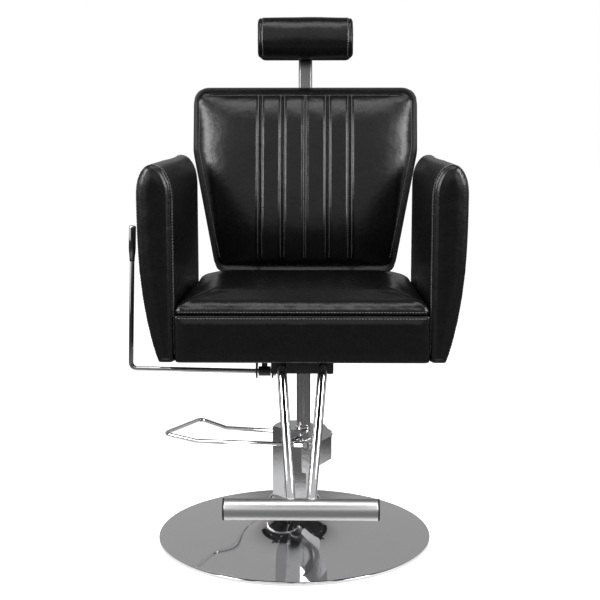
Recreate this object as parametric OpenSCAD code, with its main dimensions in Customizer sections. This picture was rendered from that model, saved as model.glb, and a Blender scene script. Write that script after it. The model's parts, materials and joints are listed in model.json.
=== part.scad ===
// Hydraulic barber chair: pump base, swivel seat, reclining channelled back,
// sliding headrest, slab arms and a fixed tubular footrest.
// Millimetres. +Z is up, the sitter faces -Y. The origin is on the floor,
// straight under the axis of the piston that carries the seat.

/* [Base] */
// Outer diameter of the base disc
base_d = 600; // [560:5:680]
// Height of the disc's turned-down rim above the floor
rim_h = 8; // [7:0.5:14]
// Gap between the rim and the floor
rim_gap = 1.5; // [0.5:0.25:2]
// Sheet thickness of the base disc
base_sheet = 2; // [1.5:0.25:3]
// Height at which the pump skirt stands on the disc's neck
neck_h = 92; // [84:1:100]
// Diameter of the disc's neck
neck_d = 99; // [97:1:110]
// How sharply the disc flares up to its neck
neck_flare = 1.9; // [1.7:0.05:2.6]
// Thickness of the steel floor plate
floor_plate_t = 4; // [3:0.5:4]
// Gap left between the disc's sheet and the floor plate's edge
plate_gap = 0.3; // [0.2:0.05:0.6]
// Radius of the rubber pad under the middle of the floor plate
foot_pad_r = 45; // [40:1:60]
// Distance of the rubber foot ring from the floor plate's edge
foot_inset = 2; // [1:0.5:5]
// Thickness of the rubber foot ring
foot_t = 2.5; // [2:0.25:3]
// Width of the rubber foot ring
foot_w = 22; // [14:1:40]
// Diameter of the cast ballast disc
ballast_d = 340; // [300:5:380]
// Thickness of the cast ballast disc
ballast_t = 16; // [10:1:20]

/* [Pump] */
// Offset of the pump's axis from the piston's, along X
pump_x = -20; // [-21:0.5:-16]
// Offset of the pump's axis from the piston's, along Y
pump_y = 8; // [5:0.5:9]
// Direction in which the pedal points, from +X
pedal_dir = 153; // [145:1:160]
// Size of the six-sided pump skirt across its corners
skirt_d = 96; // [95.5:0.25:98]
// Wall of the pump skirt
skirt_wall = 2.5; // [2:0.25:3]
// Height of the pump's top face above the floor
pump_top = 250; // [246:1:256]
// Thickness of the pump's cap
cap_t = 12; // [10:1:16]
// Chamfer round the cap's top edge
cap_chamfer = 3; // [1:0.5:4]
// Wall of the inner pump cylinder
cylinder_wall = 2.2; // [1.6:0.1:2.3]
// Thickness of the cylinder's closed bottom
cylinder_floor = 12; // [8:1:14]
// Diameter of the cylinder's bolted foot
foot_flange_d = 124; // [118:1:130]
// Thickness of the cylinder's bolted foot
foot_flange_t = 10; // [8:1:12]
// Pitch circle of the bolts in the foot
foot_pcd = 98; // [94:1:102]
// Diameter of the piston
piston_d = 30; // [28:1:32]
// Length of the piston
piston_len = 262; // [245:1:264]
// Outer diameter of the piston's seal ring
seal_d = 38; // [36:0.5:39]
// Height of the piston's seal ring
seal_h = 5; // [4:0.5:8]

/* [Pump head] */
// Length of the pump head across the pedal
head_w = 88; // [84:1:92]
// How far the pump head stands out from the skirt
head_depth = 32; // [29:1:36]
// Height of the pump head's lower face
head_low = 159; // [150:1:162]
// Top of the pump head below the pump's top face
head_drop = 2; // [1:0.5:6]
// Height of the head's upper chamfer
head_cut_top = 22; // [16:1:24]
// Height of the head's lower chamfer
head_cut_low = 15; // [10:1:20]
// Depth of the head's chamfers
head_cut_in = 22; // [16:1:24]
// Chamfer on the two ends of the head
head_end_cut = 8; // [4:1:9]
// Height of the pedal shaft above the floor
shaft_z = 224; // [221:0.5:226]
// Distance of the pedal shaft from the skirt's face
shaft_out = 14; // [13:0.5:16]
// Diameter of the pedal shaft
shaft_d = 12; // [10:0.5:13]
// Thickness of the finger on the pedal shaft
cam_t = 12; // [8:1:14]
// Distance from the shaft's axis to the finger's nose
nose_arm = 9; // [8.5:0.25:9.5]
// Diameter of the finger's nose
nose_d = 7; // [6:0.5:7]
// Diameter of the pump's plunger
plunger_d = 8; // [7:0.5:8]
// Length of the pump's plunger
plunger_len = 34; // [28:1:40]

/* [Pedal] */
// Diameter of the pedal's bent bar
pedal_bar_d = 9.2; // [8:0.1:10]
// Diameter of the hubs that hold the bar on the shaft
hub_d = 21; // [20:0.5:24]
// Thickness of the hubs
hub_t = 12; // [12:0.5:14]
// Length of each hub's socket, from the shaft's axis
socket_len = 26; // [22:1:32]
// Wall of each hub's socket
socket_wall = 1.7; // [1.2:0.1:1.8]
// Distance from the shaft to the pedal's first bends
pedal_reach = 272; // [250:1:276]
// Length of the pedal's tread past the bends
tread_len = 70; // [60:1:74]
// Height of the bends above the floor
pedal_bend_z = 202; // [196:1:206]
// Height of the tread's end above the floor
tread_z = 214; // [208:1:220]
// Half the pedal's width at the bends
pedal_half_bend = 65.6; // [62:0.1:68]
// Half the pedal's width at the tread's end
pedal_half_end = 75.7; // [70:0.1:78]
// Bend radius of the pedal's bar
pedal_bend_r = 13; // [10:1:18]
// Diameter of the hubs' set screws
set_screw_d = 5; // [4:0.5:5.5]
// Height of the set screws' heads above the sockets
set_screw_h = 3; // [2:0.5:5]
// Gap between the hubs' round and the ends of the bar
bar_gap = 1; // [0.5:0.5:3]
// How far the shafts stand out past what they carry
shaft_proud = 1; // [0.5:0.5:2]

/* [Swivel and seat plate] */
// Height of the seat box's underside above the floor
seat_bottom = 438; // [434:1:442]
// Thickness of the steel plate under the seat
seat_plate_t = 6; // [5:0.5:7]
// Width of the seat plate
seat_plate_w = 240; // [230:2:244]
// Depth of the seat plate
seat_plate_l = 260; // [220:2:262]
// Diameter of the swivel hub
swivel_d = 60; // [52:1:64]
// Height of the swivel hub with its flange
swivel_h = 36; // [30:1:40]
// Diameter of the swivel hub's flange
swivel_flange_d = 116; // [112:1:118]
// Thickness of the swivel hub's flange
swivel_flange_t = 7; // [6:0.5:9]
// Pitch circle of the flange bolts
swivel_pcd = 88; // [84:1:92]
// Wall left above the piston inside the swivel hub
swivel_roof = 7; // [5:0.5:9]

/* [Seat] */
// Width between the arms
seat_w = 500; // [480:5:520]
// Depth of the seat from its front face
seat_l = 480; // [460:2:490]
// Distance from the piston's axis to the seat's front face
seat_front = 250; // [245:1:256]
// Height of the upholstered seat box
seat_box_h = 95; // [90:1:100]
// Corner radius of the seat box
seat_corner_r = 6; // [3:1:12]
// Height of the seat cushion above the box
seat_cushion_h = 41; // [36:1:48]
// Width of the rolled edge of the seat cushion
seat_roll = 34; // [26:1:44]

/* [Arms] */
// Width of an arm at its foot
arm_foot_w = 27; // [26:1:40]
// Width of an arm at its widest
arm_w = 70; // [60:1:80]
// Height of an arm's widest point above the floor
arm_wide_z = 770; // [740:2:790]
// Height of an arm's top at the front
arm_top_front = 825; // [810:1:835]
// Height of an arm's top at the rear
arm_top_rear = 840; // [826:1:860]
// Distance from an arm's inner face to its crest
arm_crest = 38; // [30:1:44]
// How far down the inner side rounds off from the crest
arm_round_in = 62; // [50:1:80]
// How much the outer side bellies out on its way up
arm_belly = 1.8; // [1.3:0.05:2.4]
// Depth of the seam groove behind an arm's front panel
arm_seam = 1.8; // [1:0.1:2.5]

/* [Arm straps] */
// Thickness of the steel straps that join arms and seat
strap_t = 4; // [3:0.5:5]
// Width of the steel straps
strap_w = 24; // [18:1:24]
// Distance of the front strap behind the seat's front face
strap_front = 94; // [92:1:95]
// Distance of the rear strap behind the seat's front face
strap_rear = 392; // [390:1:398]

/* [Footrest] */
// Diameter of the two footrest legs
leg_d = 19; // [17:0.5:20]
// Wall of the footrest legs
leg_wall = 1.5; // [1.2:0.1:2]
// Spacing of the legs under the seat
leg_gap_top = 80; // [76:1:84]
// Spacing of the legs at the foot bar
leg_gap_low = 36; // [32:1:44]
// Distance of the foot bar in front of the piston
foot_bar_y = 380; // [376:1:400]
// Height of the foot bar above the floor
foot_bar_z = 188; // [186:1:192]
// Forward lean of the legs, over their height
leg_lean = 38; // [30:1:44]
// Bend radius of the legs under the seat's front edge
leg_bend_r = 42; // [36:1:48]
// Distance from the seat's front face to the legs' rear ends
leg_inside = 90; // [80:1:91]
// Diameter of the foot bar
foot_bar_d = 41; // [38:1:44]
// Length of the foot bar
foot_bar_len = 286; // [260:2:300]
// Wall of the foot bar
foot_bar_wall = 2; // [1.5:0.25:3]
// Thickness of the foot bar's end caps
foot_cap_t = 3; // [2:0.5:5]
// Width of the block that clamps the legs to the seat
clamp_w = 124; // [118:1:130]
// Depth of the clamp block
clamp_l = 40; // [30:1:44]
// Wall of the clamp block under the legs
clamp_wall = 4; // [3:0.5:6]
// Wall of the clamp block above the legs
clamp_roof = 3.5; // [3:0.25:5]
// Distance from the legs' rear ends to the clamp block
clamp_in = 15; // [12:1:18]

/* [Recline lever] */
// Distance of the lever shaft in front of the piston
lever_y = 100; // [96:1:104]
// Height of the lever shaft above the floor
lever_z = 393; // [391:0.5:394]
// Diameter of the lever's rod
lever_d = 10; // [9:0.25:11]
// Distance of the lever's upright from the piston
lever_x = 355; // [345:1:362]
// Rise of the lever's level arm towards the upright
lever_rise = 9; // [4:1:14]
// Height of the lever's top above the floor
lever_top = 690; // [670:2:710]
// Bend radius of the lever's rod
lever_bend_r = 13; // [10:1:18]
// Diameter of the lever's grip
grip_d = 14.6; // [13:0.1:16]
// Length of the lever's grip
grip_len = 64; // [50:1:80]
// Length of the grip's tapered neck
grip_taper = 14; // [8:1:20]
// Distance of the bracket's middle from the piston
bracket_x = 80; // [79:0.5:82]
// Spacing of the bracket's ears, inside to inside
ear_gap = 30; // [28:0.5:31]
// Thickness of the bracket's sheet
ear_t = 3; // [2:0.25:3.5]
// Distance from the lever shaft to the bracket's rear plate
web_back = 31; // [28:0.5:33]
// Width of the bracket's ears
ear_w = 30; // [24:1:32]
// Distance from the bracket to the lever's first bend
elbow_out = 9; // [7:0.5:14]
// Thickness of the grip's closed top
grip_roof = 4; // [3:0.5:6]
// Diameter of the lever's hub
lever_hub_d = 20; // [17:1:22]
// Length of the lever's hub
lever_hub_len = 25; // [20:1:27]
// Width of the hub's finger
finger_w = 12; // [8:1:14]
// Thickness of the hub's finger
finger_t = 6; // [5:0.5:8]

/* [Gas spring] */
// Diameter of the gas spring's cylinder
gas_d = 22; // [19:1:24]
// Diameter of the gas spring's rod
gas_rod_d = 10; // [8:0.5:10]
// Length of the gas spring's cylinder
gas_len = 208; // [200:1:225]
// Length of the rod inside the cylinder when the back is upright
rod_in = 75; // [60:1:90]
// Length of the release pin inside the rod
pin_in = 17; // [12:1:20]
// Diameter of the gas spring's release pin
pin_d = 4; // [3:0.25:4.5]
// Width of the eye at the cylinder's rear end
eye_t = 10; // [8:0.5:12]
// Diameter of that eye
eye_d = 20; // [19:0.5:22]
// Gap between the eye's round and the gas spring's cylinder
eye_neck = 2; // [1:0.5:4]
// Length of the crank on the recline shaft
crank_r = 50; // [48:0.5:52]
// Diameter of the crank's pin
crank_pin_d = 8; // [7:0.25:8.5]
// Half the travel of the pin up and down in the eye's slot
eye_slot = 2.6; // [2.3:0.1:3.2]
// Clearance of the pin in the eye along the gas spring
eye_play = 0.4; // [0.35:0.05:0.7]
// Thickness of each cheek of the crank
cheek_t = 4; // [3:0.5:5]
// Wall of the crank round the recline shaft
crank_wall = 5; // [4:0.5:7]
// Wall of the crank round its pin
pin_wall = 4.5; // [3.5:0.5:5]

/* [Recline hinge] */
// Distance of the recline hinge behind the piston
hinge_y = 255; // [252:1:262]
// Height of the recline hinge above the floor
hinge_z = 461; // [459:1:464]
// Diameter of the recline shaft
hinge_d = 16; // [14:0.5:18]
// Radius of the hinge plates' round ends
hinge_r = 16; // [14:0.5:17]
// Spacing of the seat's hinge ears, outside to outside
ears_w = 266; // [260:2:280]
// Thickness of the seat's hinge ears
hinge_ear_t = 8; // [6:0.5:9]
// Thickness of the back's hinge arms
back_arm_t = 6; // [4:0.5:7]
// Gap between a hinge ear and the arm beside it
arm_gap = 9; // [4:0.5:12]
// Largest recline from upright
recline_max = 45; // [30:1:50]
// Width of the rings that hold the shaft's ends
washer_w = 4; // [3:0.5:5]
// Length of the frame plate in front of the hinge
frame_l = 83; // [78:1:90]
// Distance of the frame plate's screws in front of the hinge
frame_screw_y = 55; // [50:1:60]
// Distance of the frame plate's screws inside the ears
frame_screw_in = 20; // [16:1:30]
// Distance of the frame plate from the seat box's rear face
frame_inset = 2; // [1:0.5:6]

/* [Back] */
// Lean of the back when upright
back_tilt = 12; // [10:0.5:15]
// Height of the back's lower edge above the hinge, along the back
back_low = 100; // [98:1:110]
// Height of the back, along its lean
back_h = 430; // [410:5:450]
// Half the back's width at its shoulders
back_half = 266; // [255:1:275]
// Half the back's width at its lower edge
back_half_low = 209; // [200:1:215]
// Height above the lower edge where the sides turn upright
shoulder_h = 290; // [240:5:320]
// Corner radius at the back's top
back_corner = 28; // [20:1:36]
// Corner radius at the back's bottom
back_corner_low = 16; // [10:1:26]
// Distance of the back's front crown in front of the hinge
back_front = 75; // [72:1:80]
// Thickness of the back's rear shell
shell_t = 25; // [24:0.5:28]
// Distance of the shell's rear face behind the hinge
shell_rear = 15; // [14:0.5:18]
// Spacing of the sewn channels
channel_gap = 53; // [44:1:60]
// Depth of the sewn channels
channel_depth = 3.5; // [2:0.1:5]
// Height of the back's hinge arms above the hinge
back_arm_h = 305; // [260:5:330]
// Width of the arms' screw flanges
flange_w = 34; // [28:1:44]
// Thickness of the arms' screw flanges
flange_t = 4; // [3:0.5:5]
// Height of the lowest flange screws above the back's lower edge
back_screw_low = 30; // [25:1:40]
// Spacing of the flange screws
back_screw_gap = 75; // [60:1:78]

/* [Headrest] */
// Half the headrest's width
head_half = 114; // [100:1:130]
// Height of the headrest
rest_h = 98; // [85:1:110]
// Height of the headrest's middle above the hinge, along the back
rest_mid = 663; // [650:1:680]
// Thickness of the headrest's cushion
rest_t = 58; // [48:1:66]
// Thickness of the headrest's rear board
rest_board_t = 11; // [9:0.5:14]
// Width of the flat oval headrest post
post_w = 33; // [30:0.5:36]
// Thickness of the flat oval headrest post
post_t = 12; // [11:0.5:13]
// Distance of the post's middle behind the hinge line
post_y = 2; // [1:0.5:3]
// How far the post reaches down into the back at its middle setting
post_in = 87; // [80:1:92]
// Room left under the post at its lowest setting
post_room = 3; // [2:0.5:6]
// Wall of the post's sleeve
sleeve_wall = 2.5; // [2:0.25:3]
// Length of the post's sleeve
sleeve_len = 95; // [80:1:97]
// Travel of the headrest downwards
post_down = 55; // [40:1:56]
// Thickness of the plate that carries the headrest
rest_plate_t = 3; // [2:0.25:4]
// Width of the plate that carries the headrest
rest_plate_w = 110; // [80:1:130]
// Height of the plate that carries the headrest
rest_plate_h = 60; // [50:1:70]

/* [Fits] */
// Radial clearance of what turns or slides
fit = 0.05; // [0.02:0.01:0.09]
// Gap between soft parts and what they lie on
soft_gap = 0.3; // [0.3:0.05:0.5]
// Gap beside parts that turn next to each other
side_gap = 0.5; // [0.3:0.1:1]
// Width across the flats of the large bolts' heads
bolt_af = 17; // [16:1:18]
// Height of the large bolts' heads
bolt_head = 5; // [4:0.5:6]
// Width across the flats of the small bolts' heads
screw_af = 10; // [8:1:12]
// Height of the small bolts' heads
screw_head = 4; // [3:0.5:5]
// Diameter of the small bolts' shanks
screw_d = 5; // [4:0.5:6]
// Length of the small bolts' shanks
screw_len = 12; // [9:0.5:12.5]
// Length of the clamp block's bolts
clamp_bolt_len = 36; // [30:1:40]
// Diameter of the base's bolts
base_bolt_d = 10; // [8:0.5:11]
// Diameter of the swivel hub's bolts
swivel_bolt_d = 8; // [6:0.5:9]
// Thickness of the clips on the recline shaft
clip_t = 3; // [2:0.5:4]
// How far a cut runs past the surface that it starts from
over = 1; // [0.5:0.5:2]

/* [Hidden] */
$fn = 64;

// Heights, from the floor up
floor_plate_z = foot_t;
ballast_z = floor_plate_z + floor_plate_t;
neck_sheet = base_sheet * 1.1;
cylinder_z = ballast_z + ballast_t;
plate_z = seat_bottom - seat_plate_t;
piston_top = plate_z - swivel_roof;
flange_z = plate_z - swivel_flange_t;
cushion_z = seat_bottom + seat_box_h;
leg_z = seat_bottom - leg_d / 2 - clamp_roof;

// The floor plate reaches out to where the disc's sheet comes down to it, or to the rim
plate_rise = max(0, ballast_z + plate_gap + neck_sheet - rim_h) / (neck_h - rim_h);
plate_in = max(base_sheet + plate_gap, (base_d - neck_d) / 2 * pow(plate_rise, 1 / neck_flare));
floor_plate_d = base_d - 2 * plate_in;

// Pump, in its own frame: +X along the pedal
skirt_face = skirt_d / 2 * cos(30);
shaft_x = -(skirt_face + shaft_out);
plunger_x = shaft_x + nose_arm;
plunger_top = shaft_z - nose_d / 2 - fit;
hub_y = head_w / 2 + side_gap + hub_t / 2;

// Recline gear
swing = recline_max / 2;
gas_z = hinge_z - crank_r * (1 + cos(swing)) / 2;
gas_x = -bracket_x;
eye_y = hinge_y + crank_r * sin(swing);
gas_back = eye_y - eye_d / 2 - eye_neck;
gas_front = gas_back - gas_len;
web_y = web_back - lever_y;
nut_y = web_y - bolt_head;
pin_tip = -lever_y + finger_t / 2 + soft_gap;
ear_x = ears_w / 2 - hinge_ear_t;
arm_x = ear_x - arm_gap - back_arm_t;

// Back, in its own frame: +Z up the back, +Y to the rear
shell_front = shell_rear - shell_t;
back_top = back_low + back_h;
cushion_t = back_front + shell_front - soft_gap;
cushion_edge = 14;
cushion_rear = shell_front - soft_gap;
sleeve_w = post_w + 2 * fit + 2 * sleeve_wall;
sleeve_t = post_t + 2 * fit + 2 * sleeve_wall;
post_top = rest_mid + rest_plate_h / 2;
rest_plate_y = post_y - post_t / 2 - rest_plate_t;
rest_board_y = rest_plate_y - rest_board_t;
post_low = back_top - post_in;
post_len = post_top - post_low;

chrome = "silver";
steel = "slategray";
black_steel = "dimgray";
leather = "#202022";
rubber = "#151515";

// ---- shapes that repeat ----

// A plate lying in the YZ plane, t thick from x on
module side_plate(x, t) {
    translate([x, 0, 0]) rotate([90, 0, 90]) linear_extrude(t) children();
}

// A plate standing in the XZ plane, t thick from y on
module front_plate(y, t) {
    translate([0, y + t, 0]) rotate([90, 0, 0]) linear_extrude(t) children();
}

module round_rect(w, l, r) {
    square([w - 2 * r, l], center = true);
    square([w, l - 2 * r], center = true);
    for (x = [-1, 1], y = [-1, 1]) translate([x * (w / 2 - r), y * (l / 2 - r)]) circle(r);
}

// A bar section with straight faces and round ends
module flat_oval(w, t) {
    square([w - t, t], center = true);
    for (x = [-1, 1]) translate([x * (w - t) / 2, 0]) circle(d = t);
}

// A hexagonal head below the origin with its shank above
module bolt(d, len, af, head) {
    cylinder(d = d, h = len);
    translate([0, 0, -head]) cylinder(d = af / cos(30), h = head, $fn = 6);
}

module screw() {
    bolt(screw_d, screw_len, screw_af, screw_head);
}

// The hole that a screw's shank sits in
module screw_hole(len = screw_len) {
    translate([0, 0, -over]) cylinder(d = screw_d + 2 * fit, h = len + over + fit);
}

function unit(v) = v / norm(v);

// A straight round bar from a to b
module run(a, b, r) {
    v = b - a;
    translate(a) rotate([0, acos(v.z / norm(v)), atan2(v.y, v.x)]) cylinder(r = r, h = norm(v));
}

// A closed skin over rings of points: each ring has as many points, the ends are closed by a fan
module skin(rings) {
    n = len(rings[0]);
    m = len(rings);
    mid_a = [for (k = [0 : 2]) let (s = [for (p = rings[0]) p[k]]) sum(s) / n];
    mid_b = [for (k = [0 : 2]) let (s = [for (p = rings[m - 1]) p[k]]) sum(s) / n];
    pts = concat([for (r = rings) each r], [mid_a, mid_b]);
    sides = [for (j = [0 : m - 2], i = [0 : n - 1]) let (a = j * n + i, b = j * n + (i + 1) % n)
        each [[a, b, b + n], [a, b + n, a + n]]];
    ends = [for (i = [0 : n - 1]) let (k = (i + 1) % n, t = (m - 1) * n)
        each [[m * n, k, i], [m * n + 1, t + i, t + k]]];
    polyhedron(pts, concat(sides, ends), convexity = 6);
}

function sum(v, i = 0) = i < len(v) ? v[i] + sum(v, i + 1) : 0;

// Points and directions along a path rounded at each inner point: one pair every step degrees
function rounded(pts, bend, step) = let (n = len(pts) - 1,
    dirs = [for (i = [0 : n - 1]) unit(pts[i + 1] - pts[i])])
    concat([[pts[0], dirs[0]]],
        [for (i = [1 : n - 1]) let (p = dirs[i - 1], q = dirs[i], turn = acos(p * q),
            centre = pts[i] + unit(q - p) * bend / cos(turn / 2),
            start = pts[i] - p * bend * tan(turn / 2) - centre, k = max(2, ceil(turn / step)))
            each [for (j = [0 : k]) let (a = turn * j / k)
                [centre + start * cos(a) + p * bend * sin(a), p * cos(a) - unit(start) * sin(a)]]],
        [[pts[n], dirs[n - 1]]]);

// Side vectors carried along the path, so that its rings don't twist
function sides(way, i, x, out) = i == len(way) ? out :
    let (next = unit(x - way[i][1] * (x * way[i][1]))) sides(way, i + 1, next, concat(out, [next]));

// Rings of radius r round the rounded path
function tube_rings(pts, bend, r) = let (way = rounded(pts, bend, 15), x = sides(way, 0, [0, 0, 1], []))
    [for (i = [0 : len(way) - 1]) [for (a = [0 : 15 : 345])
        way[i][0] + r * (cos(a) * x[i] + sin(a) * cross(way[i][1], x[i]))]];

// A bar bent in more than one plane
module swept_bar(pts, bend, d) {
    skin(tube_rings(pts, bend, d / 2));
}

// A bent tube: its rings go out along the outside and come back along the bore
module swept_tube(pts, bend, d, wall) {
    outside = tube_rings(pts, bend, d / 2);
    bore = tube_rings(pts, bend, d / 2 - wall);
    last = len(bore) - 1;
    rings = concat(outside, [for (i = [last : -1 : 0]) bore[i]]);
    n = len(rings[0]);
    m = len(rings);
    faces = [for (j = [0 : m - 1], i = [0 : n - 1]) let (k = (j + 1) % m, i2 = (i + 1) % n)
        each [[j * n + i, j * n + i2, k * n + i2], [j * n + i, k * n + i2, k * n + i]]];
    polyhedron([for (r = rings) each r], faces);
}

// ---- base and pump ----

module at_pump() {
    translate([pump_x, pump_y, 0]) rotate([0, 0, pedal_dir]) children();
}

module hexagon(d) {
    rotate(30) circle(d = d, $fn = 6);
}

// Height of the disc's upper surface at radius r
function disc_z(r) = rim_h + (neck_h - rim_h) * pow((base_d / 2 - r) / (base_d - neck_d) * 2, neck_flare);

module base_cover() {
    steps = 22;
    rim = base_d / 2;
    neck = neck_d / 2;
    hole = skirt_face - skirt_wall - fit;
    corner = 1.5;
    radii = [for (i = [0 : steps]) neck + (rim - corner - neck) * i / steps];
    top = [for (r = radii) [r, disc_z(r)]];
    under = [for (i = [steps - 1 : -1 : 0]) [radii[i], disc_z(radii[i]) - neck_sheet]];
    color(chrome) translate([pump_x, pump_y, 0]) rotate_extrude($fn = 128)
        polygon(concat([[hole, neck_h]], top, [[rim, rim_h - corner], [rim, rim_gap],
            [rim - base_sheet, rim_gap], [rim - base_sheet, rim_h - base_sheet]], under,
            [[hole, neck_h - neck_sheet]]));
}

module foot_rubber() {
    outer = floor_plate_d / 2 - foot_inset;
    color(rubber) translate([pump_x, pump_y, 0]) {
        difference() {
            cylinder(r = outer, h = foot_t, $fn = 128);
            translate([0, 0, -over]) cylinder(r = outer - foot_w, h = foot_t + 2 * over, $fn = 128);
        }
        cylinder(r = foot_pad_r, h = foot_t);
    }
}

module at_base_bolts() {
    for (a = [45 : 90 : 315])
        translate([pump_x, pump_y, 0]) rotate(a) translate([foot_pcd / 2, 0, 0]) children();
}

module base_bolt_holes() {
    at_base_bolts() cylinder(d = base_bolt_d + 2 * fit, h = cylinder_z + foot_flange_t + over);
}

module floor_plate() {
    color(steel) difference() {
        translate([pump_x, pump_y, floor_plate_z]) cylinder(d = floor_plate_d, h = floor_plate_t, $fn = 128);
        base_bolt_holes();
    }
}

module ballast_disc() {
    step = 10;
    color(black_steel) difference() {
        translate([pump_x, pump_y, ballast_z]) rotate_extrude($fn = 96)
            polygon([[0, 0], [ballast_d / 2, 0], [ballast_d / 2, ballast_t - step / 2],
                [ballast_d / 2 - step, ballast_t], [0, ballast_t]]);
        base_bolt_holes();
    }
}

module base_bolts() {
    color(steel) at_base_bolts() translate([0, 0, cylinder_z + foot_flange_t]) mirror([0, 0, 1])
        bolt(base_bolt_d, cylinder_z + foot_flange_t - floor_plate_z, bolt_af, bolt_head);
}

module pump_cylinder() {
    top = pump_top - cap_t;
    color(steel) difference() {
        union() {
            translate([0, 0, cylinder_z])
                cylinder(d = piston_d + 2 * (fit + cylinder_wall), h = top - cylinder_z);
            translate([pump_x, pump_y, cylinder_z]) cylinder(d = foot_flange_d, h = foot_flange_t);
        }
        translate([0, 0, cylinder_z + cylinder_floor]) cylinder(d = piston_d + 2 * fit, h = top);
        base_bolt_holes();
    }
}

module pump_skirt() {
    color(chrome) at_pump() translate([0, 0, neck_h])
        linear_extrude(pump_top - cap_t - neck_h) difference() {
            hexagon(skirt_d);
            hexagon(skirt_d - 2 * skirt_wall / cos(30));
        }
}

module pump_cap() {
    corner = skirt_d / 2;
    color(chrome) difference() {
        at_pump() translate([0, 0, pump_top - cap_t]) intersection() {
            linear_extrude(cap_t) hexagon(skirt_d);
            rotate_extrude() polygon([[0, 0], [corner + over, 0], [corner + over, cap_t - cap_chamfer - over],
                [corner - 2 * cap_chamfer, cap_t], [0, cap_t]]);
        }
        translate([0, 0, pump_top - cap_t - over]) cylinder(d = piston_d + 2 * fit, h = cap_t + 2 * over);
    }
}

module seal_ring() {
    bevel = 1;
    bore = piston_d / 2 + fit;
    color(chrome) translate([0, 0, pump_top]) rotate_extrude() polygon([[bore, 0], [seal_d / 2, 0],
        [seal_d / 2, seal_h - bevel], [seal_d / 2 - bevel, seal_h], [bore, seal_h]]);
}

// The cast head on the skirt's side, with the room for the shaft's finger and the plunger's bore
module pump_head() {
    high = pump_top - head_drop;
    outer = skirt_face + head_depth;
    half = head_w / 2;
    room = 1;
    cam_room = nose_arm + room;
    tip = 6;
    color(chrome) at_pump() difference() {
        intersection() {
            translate([0, half, 0]) rotate([90, 0, 0]) linear_extrude(head_w)
                polygon([[-skirt_face, head_low], [-skirt_face, high], [-(outer - head_cut_in), high],
                    [-outer, high - head_cut_top], [-outer, head_low + head_cut_low],
                    [-(outer - head_cut_in), head_low]]);
            translate([0, 0, head_low - over]) linear_extrude(high - head_low + 2 * over)
                polygon([[0, -half], [-(outer - head_end_cut), -half], [-outer, -half + head_end_cut],
                    [-outer, half - head_end_cut], [-(outer - head_end_cut), half], [0, half]]);
        }
        translate([shaft_x, half + over, shaft_z]) rotate([90, 0, 0])
            cylinder(d = shaft_d + 2 * fit, h = head_w + 2 * over);
        translate([shaft_x - cam_room, -cam_t / 2 - room, shaft_z - cam_room])
            cube([-shaft_x + cam_room - skirt_face + over, cam_t + 2 * room, 2 * cam_room]);
        translate([plunger_x, 0, plunger_top - plunger_len - tip])
            cylinder(d = plunger_d + 2 * fit, h = plunger_len);
    }
}

module pump_plunger() {
    color(steel) at_pump() translate([plunger_x, 0, plunger_top - plunger_len])
        cylinder(d = plunger_d, h = plunger_len);
}

// ---- pedal ----

module pedal_shaft() {
    len = 2 * (hub_y + hub_t / 2 + shaft_proud);
    color(steel) at_pump() translate([shaft_x, 0, shaft_z]) rotate([90, 0, 0]) {
        translate([0, 0, -len / 2]) cylinder(d = shaft_d, h = len);
        translate([0, -nose_d / 2, -cam_t / 2]) cube([nose_arm, nose_d, cam_t]);
        translate([nose_arm, 0, -cam_t / 2]) cylinder(d = nose_d, h = cam_t);
    }
}

// The bar's centre line on one side, from its hub to the tread's end
function pedal_side(s) = [[shaft_x, s * hub_y, shaft_z],
    [shaft_x + pedal_reach, s * pedal_half_bend, pedal_bend_z],
    [shaft_x + pedal_reach + tread_len, s * pedal_half_end, tread_z]];

function pedal_start(s) = let (p = pedal_side(s)) p[0] + unit(p[1] - p[0]) * (hub_d / 2 + bar_gap);

module pedal_bar() {
    a = pedal_side(1);
    b = pedal_side(-1);
    color(chrome) at_pump()
        swept_bar([pedal_start(1), a[1], a[2], b[2], b[1], pedal_start(-1)], pedal_bend_r, pedal_bar_d);
}

module pedal_hubs() {
    color(chrome) at_pump() for (s = [-1, 1]) difference() {
        p = pedal_side(s);
        way = unit(p[1] - p[0]);
        union() {
            translate([shaft_x, s * hub_y + hub_t / 2, shaft_z]) rotate([90, 0, 0])
                cylinder(d = hub_d, h = hub_t);
            run(p[0], p[0] + way * socket_len, pedal_bar_d / 2 + socket_wall);
        }
        translate([shaft_x, s * hub_y + hub_t, shaft_z]) rotate([90, 0, 0])
            cylinder(d = shaft_d, h = 2 * hub_t);
        run(pedal_start(s), p[0] + way * (socket_len + over), pedal_bar_d / 2);
        at_set_screw(s) cylinder(d = set_screw_d, h = hub_t);
    }
}

// The set screw stands on the bar, square to the socket
module at_set_screw(s) {
    p = pedal_side(s);
    way = unit(p[1] - p[0]);
    sink = 0.2;
    out = (socket_len + hub_d / 2 + bar_gap) / 2;
    translate(p[0] + way * out + [0, 0, pedal_bar_d / 2 - sink]) children();
}

module pedal_screws() {
    color(steel) at_pump() for (s = [-1, 1]) difference() {
        at_set_screw(s) cylinder(d = set_screw_d, h = socket_wall + set_screw_h);
        run(pedal_side(s)[0], pedal_side(s)[1], pedal_bar_d / 2);
    }
}

// ---- piston, swivel and seat plate ----

module piston() {
    color(chrome) translate([0, 0, piston_top - piston_len]) cylinder(d = piston_d, h = piston_len);
}

module at_swivel_bolts() {
    for (a = [45 : 90 : 315]) rotate(a) translate([swivel_pcd / 2, 0, 0]) children();
}

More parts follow.
